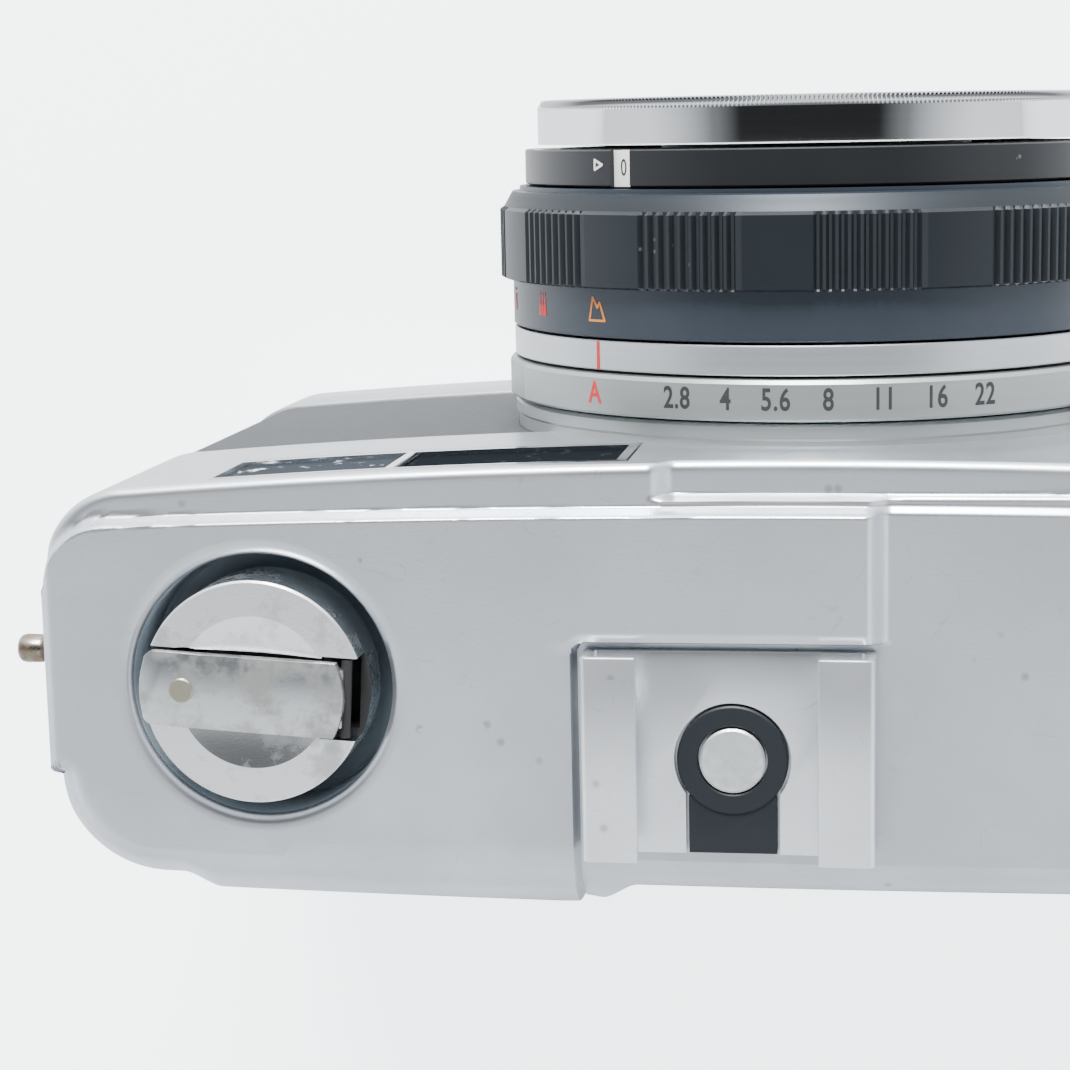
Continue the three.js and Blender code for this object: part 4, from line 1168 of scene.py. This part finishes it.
# %% [markdown]
# ## Engraving
# The figures are filled engraving on the turned rings. Text is made at its height, turned into a
# mesh, and wrapped round the ring. The zone signs are drawn from short strokes: a mountain for far
# subjects and a group for nearer ones.


# %% Figures and signs
def text_mesh(name, words, height, squeeze=0.82, bold=0.0):
    clear()
    bpy.ops.object.text_add()
    obj = bpy.context.object
    obj.name = name
    obj.data.body, obj.data.size = words, height * 1.38
    obj.data.align_x, obj.data.align_y = "CENTER", "CENTER"
    obj.data.extrude, obj.data.offset, obj.data.resolution_u = 0.02, bold, 4
    obj.data.space_character = 1.08
    bpy.ops.object.convert(target="MESH")
    obj = bpy.context.object
    obj.data.transform(Matrix.Diagonal((squeeze, 1, 1, 1)))
    return outward(obj, 0.0004)


def strokes(name, lines, width):
    """Short straight strokes between points, each a thin bar."""
    bars = []
    for (x0, y0), (x1, y1) in lines:
        length = math.hypot(x1 - x0, y1 - y0) + width * 0.7
        bar = box(name, (-length / 2, length / 2), (-width / 2, width / 2), (-0.02, 0.02))
        turn_by = Matrix.Rotation(math.atan2(y1 - y0, x1 - x0), 4, "Z")
        bar.data.transform(Matrix.Translation(((x0 + x1) / 2, (y0 + y1) / 2, 0)) @ turn_by)
        bars.append(bar)
    return joined(name, *bars)


def wrapped(obj, radius, station, angle):
    """Wraps a flat figure round the lens, read from above with the lens pointing away."""
    for v in obj.data.vertices:
        around = math.radians(angle) + v.co.x / radius
        reach = radius + v.co.z
        v.co = (-reach * math.sin(around), station - v.co.y, LENS_Z + reach * math.cos(around))
    return obj


def flat_on(obj, x, y, z, degrees=0.0):
    """Lays a flat figure on the top plate, read from behind the camera."""
    obj.data.transform(Matrix.Translation((x, y, z)) @ Matrix.Rotation(math.pi + math.radians(degrees), 4, "Z"))
    return obj


APERTURES = (
    ("2.8", -21.6), ("4", -12.8), ("5.6", -4.3), ("8", 4.4), ("11", 13.6), ("16", 22.7),
    ("22", 31.7)
)
INDEX_ANGLE = -39.0
figures = [
    wrapped(text_mesh("f", words, 1.62, 0.74, 0.045), APERTURE_R, -19.15, angle) for words,
    angle in APERTURES
]
place(joined("aperture_figures", *figures), "aperture_ring", DIGIT_BLACK, angle=0)
auto = wrapped(text_mesh("aperture_auto_letter", "A", 1.68, 0.82, 0.045), APERTURE_R, -19.15, INDEX_ANGLE)
place(auto, "aperture_ring", DIGIT_RED, angle=0)
mark = wrapped(strokes("index_mark", [((0, -0.95), (0, 0.95))], 0.28), 24.31, -21.95, INDEX_ANGLE)
place(mark, "chassis", DIGIT_RED, angle=0)

ridge = [(-0.8, -0.85), (-0.42, 0.85), (0.05, 0.1), (0.3, 0.5), (0.8, -0.85), (-0.8, -0.85)]
mountain = list(zip(ridge, ridge[1:]))
peak = wrapped(strokes("zone_mountain", mountain, 0.17), 24.36, -25.35, INDEX_ANGLE)
place(peak, "focus_ring", DIGIT_ORANGE, angle=0)


def people(heads):
    """A group sign: a square head over a straight body for each person."""
    lines = []
    for x in heads:
        lines += [((x, 0.72), (x, 0.86)), ((x - 0.1, 0.4), (x + 0.1, 0.4)), ((x, 0.4), (x, -0.1))]
        lines += [((x - 0.09, -0.1), (x - 0.09, -0.8)), ((x + 0.09, -0.1), (x + 0.09, -0.8))]
    return lines


signs = [
    wrapped(strokes("z", people(heads), 0.15), 24.36, -25.35, angle) for heads,
    angle in (((-0.42, 0.0, 0.42), INDEX_ANGLE - 17), ((-0.24, 0.24), INDEX_ANGLE - 34), ((0.0,), INDEX_ANGLE - 51))
]
place(joined("zone_people", *signs), "focus_ring", DIGIT_RED, angle=0)

scale = [
    wrapped(text_mesh("s", words, 1.25, 0.7), 22.77, -35.6, SPEED_ANGLE + 13 * i) for i,
    words in enumerate(("0", "50", "100"))
]
place(joined("film_speed_figures", *scale), "chassis", DIGIT_BLACK, angle=0)
arrow = wrapped(strokes("film_speed_arrow", [((-0.4, -0.35), (0.4, 0)), ((0.4, 0), (-0.4, 0.35)), ((-0.4, 0.35), (-0.4, -0.35))], 0.18), 23.21, -35.85, SPEED_ANGLE - 5.5)
place(arrow, "film_speed_ring", DIGIT_WHITE, angle=0)

# %% [markdown]
# ## Rewind
# The knob is turned with a shallow dish in its face, sawn to take the root of the crank, and bored
# for the finger knob that hangs under the crank's tip. The crank is a flat bar with rounded ends, a
# little crowned along its length, and the rivet of the finger knob shows in it as a brass disc.

# %% Rewind knob and crank
KNOB_R, KNOB_TOP, CRANK_TURN = 7.97, 65.0, -3.6
RIVET_X, ROOT_X = REWIND_X + 4.9, REWIND_X - 6.6
ON_CRANK = about("Z", CRANK_TURN, (REWIND_X, 0, 0))
dish = [(5.45 * i / 10, KNOB_TOP - 0.55 * (1 - (i / 10) ** 2)) for i in range(11)]
knob_profile = dish + [
    (KNOB_R - 0.14, KNOB_TOP), (KNOB_R, KNOB_TOP - 0.14), (KNOB_R, 59.6), (6.9, 58.3), (0, 58.3)
]
knob = turned("rewind_knob_dished", knob_profile, 128, "Z", (REWIND_X, 0, 0), hollow=False)
root_tool = box("root_tool", (REWIND_X - 9, ROOT_X + 1.7), (-2.95, 2.95), (62.6, 67))
carve(root_tool, box("pocket_tool", (REWIND_X - 7.2, ROOT_X + 1.7), (-2.6, 2.6), (60.0, 63)), "UNION")
root_tool.data.transform(ON_CRANK)
bore_tool = rod("bore_tool", 2.9, RIVET_X, 0, 61.6, 67)
bore_tool.data.transform(ON_CRANK)
bed_tool = box("bed_tool", (REWIND_X - 9, REWIND_X + 9), (-2.82, 2.82), (64.2, 67))
bed_tool.data.transform(ON_CRANK)
carve(knob, bed_tool)
carve(knob, root_tool)
carve(knob, bore_tool)
carve(knob, rod("shaft_tool", 1.4, REWIND_X, 0, 58, 61))
place(knob, "rewind_head", [KNOB_METAL, FLAT_BLACK_AND_SHADE], ["rewind_knob"], angle=9)
# The sawn root, bed and bores of the knob are nickel like the rest; flat black on their faces is painted shade for
# the shadow down in them.
for face in knob.data.polygons:
    middle = face.center / MM
    from_axis = math.hypot(middle.x - REWIND_X, middle.y - DEPTH_SHIFT)
    if from_axis < KNOB_R - 0.25 and 59.9 < middle.z < 64.3:
        face.material_index = 1

tip = arc(RIVET_X - 3.2, 0, 6.3, -20, 20, 8)
tip_corner = [
    arc(RIVET_X + 2.05, side * 1.85, 0.8, *span, 5) for side,
    span in ((-1, (-85, -25)), (1, (25, 85)))
]
root_end = arc(ROOT_X + 6.05, 0, 6.1, 154, 206, 8)
crank = plate("rewind_crank_bar", tip_corner[0] + tip[1:-1] + tip_corner[1] + root_end, 65.1, 65.95)
edit(crank)
for i in range(1, 14):
    bpy.ops.mesh.select_all(action="SELECT")
    bpy.ops.mesh.bisect(plane_co=(REWIND_X - 7 + i, 0, 0), plane_no=(1, 0, 0))
done()
for v in crank.data.vertices:
    if v.co.z > 65.5:
        v.co.z -= 0.22 * ((v.co.x - REWIND_X) / 8) ** 2
bevelled(crank, 0.11, 2, 50)
ear = box("crank_ear", (ROOT_X + 0.1, ROOT_X + 1.1), (-2.1, 2.1), (63.95, 65.2))
bevelled(ear, 0.15, 2, 50)
crank = joined("rewind_crank_bar", crank, ear)
crank.data.transform(ON_CRANK)
place(crank, "rewind_crank", CRANK_METAL, ["rewind_crank"])
finger = [
    (0, 66.0), (0.78, 66.0), (0.88, 65.93), (0.8, 65.6), (0.8, 64.9), (2.1, 64.9), (2.3, 64.7),
    (2.3, 62.2), (2.1, 62.0), (0, 62.0)
]
finger_knob = turned("crank_finger_knob_turned", finger, 48, "Z", (RIVET_X, 0, 0), hollow=False)
finger_knob.data.transform(ON_CRANK)
place(finger_knob, "crank_finger_knob", RIVET_BRASS, ["crank_finger_knob"])

# %% [markdown]
# ## Accessory shoe
# The shoe is one nickel strip with both sides folded up and over. Its section is filled and
# extruded from front to rear, with a round at each outer fold, and its edges are broken with a
# small bevel. A keyhole is cut in it for the black insulator, which holds the contact.

# %% Shoe, insulator and contact
SHOE_X, SHOE_FRONT, SHOE_REAR, SHOE_FLOOR = 4.7, -2.7, 11.9, 61.6
CONTACT_X, CONTACT_Y = 4.5, 5.1
FOLD = 0.5


def run_back(name, section, y0, y1):
    """A section in x and z, run from front to rear."""
    obj = plate(name, section, y0, y1)
    obj.data.transform(Matrix(((1, 0, 0, 0), (0, 0, 1, 0), (0, 1, 0, 0), (0, 0, 0, 1))))
    return outward(obj)


def rail_side(side):
    """Half of the section: from the middle of the floor, up the inner wall, over the lip and down the outer fold."""
    top, under, floor_top = 64.75, 64.15, SHOE_FLOOR + 0.45
    inner = [
        (0, floor_top), (9.2, floor_top), (9.4, floor_top + 0.15), (9.45, under), (6.25, under),
        (6.25, top)
    ]
    outer = [(10.15 - FOLD + FOLD * math.sin(math.radians(a)), top - FOLD + FOLD * math.cos(math.radians(a))) for a in range(0, 91, 15)]
    return [(SHOE_X + side * x, z) for x, z in inner + outer + [(10.15, SHOE_FLOOR), (0, SHOE_FLOOR)]]


shoe = run_back("accessory_shoe_folded", rail_side(1)[:-1] + rail_side(-1)[::-1][1:-1], SHOE_FRONT, SHOE_REAR)
bevelled(shoe, 0.13, 2, 50)
keyhole = joined("keyhole_tool", rod("k", 4.1, CONTACT_X, CONTACT_Y, 60, 63))
carve(keyhole, box("neck_tool", (CONTACT_X - 3.3, CONTACT_X + 3.3), (CONTACT_Y, 20), (60, 63)), "UNION")
carve(shoe, keyhole)
place(shoe, "chassis", SHOE_METAL, ["accessory_shoe"], angle=30)
disc = [(2.45, 61.55), (3.9, 61.55), (3.9, 62.02), (3.78, 62.12), (2.55, 62.12), (2.45, 62.05)]
insulator = turned("shoe_insulator_disc", disc, 96, "Z", (CONTACT_X, CONTACT_Y, 0))
neck = box(
    "insulator_neck", (CONTACT_X - 3.1, CONTACT_X + 3.1), (CONTACT_Y + 2.6, SHOE_REAR - 0.05),
    (61.55, 61.98)
)
carve(neck, rod("n", 3.85, CONTACT_X, CONTACT_Y, 60, 63))
bevelled(neck, 0.07, 2, 60)
place(
    joined("shoe_insulator_disc", insulator, neck), "chassis", SOFT_BLACK,
    ["shoe_insulator"]
)
contact_profile = [(0, 62.3), (1.2, 62.3), (2.15, 62.27), (2.3, 62.15), (2.3, 61.55), (0, 61.55)]
contact = turned("shoe_contact_turned", contact_profile, 64, "Z", (CONTACT_X, CONTACT_Y, 0), hollow=False)
place(contact, "chassis", CONTACT_METAL, ["shoe_contact"])

# %% [markdown]
# ## Release button, counter, wheel and lugs
# These are small turned pieces. The button is dished and bored for a cable release. The counter is
# a pale dial under a flush window, with a figure every twelve frames. The advance wheel is a
# knurled disc that stands out of the back.

# %% Button and counter
collar_profile = [
    (4.6, LOW + 0.1), (6.0, LOW + 0.1), (6.0, LOW + 0.4), (5.75, LOW + 1.05), (5.55, LOW + 1.2),
    (4.75, LOW + 1.2), (4.6, LOW + 1.1)
]
place(
    turned("button_collar_turned", collar_profile, 72, "Z", (-34, -5.5, 0)), "chassis", CHROME,
    ["button_collar"]
)
button_profile = [
    (0, 62.4), (0.75, 62.4), (0.8, 63.2), (1.2, 63.42), (2.4, 63.5), (3.4, 63.66), (3.85, 63.8),
    (4.1, 63.7), (4.2, 63.45), (4.2, 59.6), (3.0, 59.6), (3.0, 61.2), (1.3, 61.2), (1.3, 53.4),
    (0, 53.4)
]
place(
    turned("shutter_button_dished", button_profile, 72, "Z", (-34, -5.5, 0), hollow=False),
    "shutter_button", CHROME, ["shutter_button"]
)
COUNTER = (-25.5, 4.6, 0)
dial_profile = [(0, 59.7), (4.8, 59.7), (5.0, 59.55), (5.0, 58.9), (1.2, 58.9), (1.2, 56.5), (0, 56.5)]
dial = turned("counter_dial_disc", dial_profile, 72, "Z", COUNTER, hollow=False)
place(dial, "counter_dial", PALE_DIAL, ["counter_dial"])
counts = []
for i, words in enumerate(("0", "12", "24", "36", "48", "60", "72")):
    figure = text_mesh("c", words, 0.95, 0.8)
    figure.data.transform(Matrix.Translation((0, 3.5, 0)))
    counts.append(flat_on(figure, COUNTER[0], COUNTER[1], 59.72, -45 * i))
place(joined("counter_figures", *counts), "counter_dial", DIGIT_BLACK, angle=0)
glass_profile = [(0, 61.45), (3.9, 61.45), (4.2, 61.35), (4.3, 61.2), (4.3, 60.4), (4.1, 60.2), (0, 60.2)]
place(
    turned("counter_glass", glass_profile, 72, "Z", COUNTER, hollow=False), "chassis", CLEAR,
    ["counter_window"]
)

# %% Advance wheel
wheel_outline = []
for i in range(96):
    for turn_by, radius in ((0.0, 9.8), (0.5, 9.8), (0.62, 9.45), (0.88, 9.45)):
        angle = math.tau * (i + turn_by) / 96
        wheel_outline.append((-38 + radius * math.cos(angle), 6.4 + radius * math.sin(angle)))
wheel = plate("advance_wheel_knurled", wheel_outline, 53, 55.6)
hub = turned(
    "wheel_hub", [(0, 53.2), (7.2, 53.2), (7.2, 51.4), (2, 51.4), (2, 47.8), (0, 47.8)], 64, "Z",
    (-38, 6.4, 0), hollow=False
)
place(
    joined("advance_wheel_knurled", wheel, hub), "thumb_wheel", SOFT_BLACK,
    ["thumb_wheel"], angle=25
)

# %% Strap lugs
lug_profile = [(0, 52.9), (0.62, 52.9), (0.62, 54.1), (1.3, 54.15), (1.35, 54.45), (1.25, 54.75), (0.8, 54.85), (0.68, 55.2), (0.68, 55.8),
               (0.92, 56.0), (1.05, 56.25), (1.08, 57.4), (1.0, 57.75), (0.8, 57.95), (0, 58.0)]
lug = turned("strap_lug_turned_right", lug_profile, 48, "X", (0, -1.1, 56.4), hollow=False)
left_lug = outward(copy_of(lug, "strap_lug_turned_left", Matrix.Diagonal((-1, 1, 1, 1))))
place(lug, "chassis", LUG_METAL, ["strap_lug_right"])
place(left_lug, "chassis", LUG_METAL, ["strap_lug_left"])

# %% [markdown]
# ## Base fittings and latch
# The tripod bush has a real thread form: a row of ridges spun inside its bore. The two base screws
# have sawn slots, and the door latch is a small plate with a ribbed thumb piece.

# %% Base fittings
thread = [pair for i in range(8) for pair in ((2.75, 0.55 + 0.62 * i), (3.15, 0.86 + 0.62 * i))]
bush_profile = [(6.4, 0.05), (6.3, 0), (3.4, 0), (3.15, 0.25)] + thread + [(3.15, 5.6), (6.4, 5.6)]
place(
    turned("tripod_bush_threaded", bush_profile, 72, "Z", (0, 0, 0)), "chassis", CHROME,
    ["tripod_bush"]
)
release_profile = [
    (0, 0.55), (1.6, 0.5), (2.3, 0.4), (2.5, 0.6), (2.5, 4.2), (1.2, 4.2), (1.2, 5.8), (0, 5.8)
]
release = turned("release_button_dished", release_profile, 64, "Z", (-14, 4, 0), hollow=False)
place(release, "rewind_release_button", CHROME, ["rewind_release_button"])
screw_profile = [
    (0, 0.2), (1.7, 0.22), (2.1, 0.35), (2.2, 0.6), (2.2, 0.85), (1.1, 0.85), (1.1, 4.2), (0, 4.2)
]
for side, label in ((1, "right"), (-1, "left")):
    screw = turned(f"base_screw_{label}_slotted", screw_profile, 48, "Z", (side * 47, 0, 0), hollow=False)
    carve(screw, box("saw_tool", (side * 47 - 3, side * 47 + 3), (-0.28, 0.28), (-0.2, 0.55)))
    place(screw, "chassis", CHROME, [f"base_screw_{label}"])
latch = joined(
    "door_latch_ribbed", box("l", (53.9, 55.0), (4.6, 7.6), (22, 30)),
    box("l", (52.9, 54.2), (5.4, 6.8), (24, 26))
)
ribs = [box("r", (54.9, 55.2), (4.8, 7.4), (23.0 + 0.9 * i, 23.5 + 0.9 * i)) for i in range(8)]
bevelled(latch, 0.15, 2, 50)
place(joined("door_latch_ribbed", latch, *ribs), "door_latch", KNOB_METAL, ["door_latch"])

# %% [markdown]
# ## What keeps its own shape
# The casting, the door, the shutter and the film transport already have the right shape in the
# frame. They keep it, and get the finish that each is made in, except the steel crank pin, whose
# flat black is painted shade.

# %% Finishes on the frame's own nodes
KEPT = {
    CAST_METAL: ("body_casting",),
    DOOR_PAINT: ("back_door", "pressure_plate", "meter_unit", "shutter_housing", "lens_barrel"),
    # The crank pin is steel; flat black on it is painted shade, for it lies in the shadow of the knob's slot.
    FLAT_BLACK_AND_SHADE: ("crank_pin", "finder_tunnel", "shutter_blade_right", "shutter_blade_left"),
    SOFT_BLACK: ("takeup_spool",),
    SPRING_METAL: ("button_spring", "door_hinge_pin", "rewind_shaft"),
    RIVET_BRASS: ("pressure_spring", "rewind_bush"),
    KNOB_METAL: ("film_sprocket",),
    CELL: ("light_cell",),
    LENS_GLASS: ("middle_element", "rear_element", "finder_rear_lens"),
}
for look_of, names_of in KEPT.items():
    for name in names_of:
        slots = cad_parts[name].data.materials
        if len(slots):
            slots[0] = look_of
        else:
            slots.append(look_of)
print("frame nodes dressed:", sum(len(names_of) for names_of in KEPT.values()))

# %% [markdown]
# ## The studio
# A pale floor, one broad soft light from the lens side and a grey surround shaped to suit this one
# view. The surround is strongest towards the lens side, less strong towards the back and the ends,
# and nearly black in a patch straight overhead, which the polished metal mirrors. The floor's glow
# is seen by the camera only and lights nothing.

# %% Floor, lights and surround
# Strengths of the surround: overall from above, in the dark overhead patch, and added at the back,
# front and ends.
SKY_TOP, SKY_ZENITH, SKY_BACK, SKY_FRONT, SKY_SIDE = 0.28, 0.03, 1.5, 3.2, 1.2
KEY_POWER, FLOOR_GLOW = 40.0, 3.4


def pale_floor():
    """Pale paper whose glow is seen by the camera only, so it whitens the background and lights nothing."""
    material, tree, shader = finish(
        "pale_floor", (0.86, 0.88, 0.90), 0.0, 0.6, Emission_Color=(0.93, 0.965, 1.0, 1)
    )
    seen = node(tree, "ShaderNodeLightPath").outputs["Is Camera Ray"]
    tree.links.new(math_node(tree, "MULTIPLY", seen, FLOOR_GLOW), shader.inputs["Emission Strength"])
    grain = noise(tree, object_place(tree), 30.0, 3.0, 0.6)
    tree.links.new(tinted(tree, grain, (0.85, 0.87, 0.89), (0.88, 0.90, 0.92)), shader.inputs["Base Color"])
    return material


clear()
bpy.ops.mesh.primitive_plane_add(size=6, location=(0, 0, -0.00002))
floor = bpy.context.object
floor.name = "pale_floor"
floor.data.materials.append(pale_floor())

world = bpy.data.worlds.new("soft_surround")
bpy.context.scene.world = world
world.use_nodes = True
sky = world.node_tree
direction = node(sky, "ShaderNodeTexCoord").outputs["Generated"]
parts = node(sky, "ShaderNodeSeparateXYZ", [("Vector", direction)])
towards_back = ranged(sky, parts.outputs["Y"], 0.04, 0.26)
towards_front = ranged(sky, math_node(sky, "MULTIPLY", parts.outputs["Y"], -1.0), 0.50, 0.85)
sideways = ranged(sky, math_node(sky, "ABSOLUTE", parts.outputs["X"]), 0.62, 0.92)
glow = math_node(
    sky, "ADD", math_node(sky, "MULTIPLY", towards_back, SKY_BACK),
    math_node(sky, "MULTIPLY", towards_front, SKY_FRONT)
)
glow = math_node(sky, "ADD", glow, math_node(sky, "MULTIPLY", sideways, SKY_SIDE))
aside = math_node(sky, "ABSOLUTE", parts.outputs["X"])
ahead = math_node(
    sky, "MULTIPLY", math_node(sky, "ABSOLUTE", math_node(sky, "ADD", parts.outputs["Y"], 0.15)),
    3.0
)
from_zenith = math_node(sky, "MAXIMUM", aside, ahead)
glow = math_node(sky, "ADD", glow, ranged(sky, from_zenith, 0.46, 0.60, SKY_ZENITH, SKY_TOP))
sky.links.new(glow, sky.nodes["Background"].inputs["Strength"])
sky.nodes["Background"].inputs["Color"].default_value = (0.93, 0.965, 1.0, 1)


def soft_light(name, place_at, aim, size, power):
    lamp = bpy.data.lights.new(name, "AREA")
    lamp.shape, lamp.size, lamp.energy = "DISK", size, power
    holder = bpy.data.objects.new(name, lamp)
    bpy.context.scene.collection.objects.link(holder)
    holder.location = place_at
    holder.rotation_euler = (Vector(aim) - Vector(place_at)).to_track_quat("-Z", "Y").to_euler()
    return holder


soft_light("front_softbox", (0.05, -1.0, 0.62), (0, 0, 0.03), 0.55, KEY_POWER)

# %% [markdown]
# The camera looks almost straight down at the top plate, tipped a little from the lens side, with a
# long lens so that the plate's edges stay nearly parallel.

# %% Camera
# The frame is turned off the lens axis by OFF_CENTRE of its width; SHIFT_KEPT of that stays as lens shift.
SHIFT_KEPT, OFF_CENTRE = 0.05, 0.25
EYE = Vector((-8.15, -38.79 + DEPTH_SHIFT, 224.81)) * MM
RIGHT = Vector((-0.99891, 0.00320, -0.04654))
UP = Vector((0.00471, -0.98564, -0.16879))
LOOK = Vector((0.04641, 0.16882, -0.98455))
YAW = -SHIFT_KEPT + OFF_CENTRE
lens_mm, sensor = 80.75, 36.0
turn = math.atan(YAW * sensor / lens_mm)
look = (LOOK * math.cos(turn) - RIGHT * math.sin(turn)).normalized()
right = look.cross(UP).normalized()
up = right.cross(look)
camera_data = bpy.data.cameras.new("viewpoint")
camera_data.lens, camera_data.sensor_width = lens_mm / math.cos(turn), sensor
camera_data.shift_x = -SHIFT_KEPT
camera_data.clip_start, camera_data.clip_end = 0.01, 20
camera = bpy.data.objects.new("viewpoint", camera_data)
bpy.context.scene.collection.objects.link(camera)
camera.matrix_world = Matrix.Translation(EYE) @ Matrix((right, up, -look)).transposed().to_4x4()
bpy.context.scene.camera = camera
print("pieces:", total)
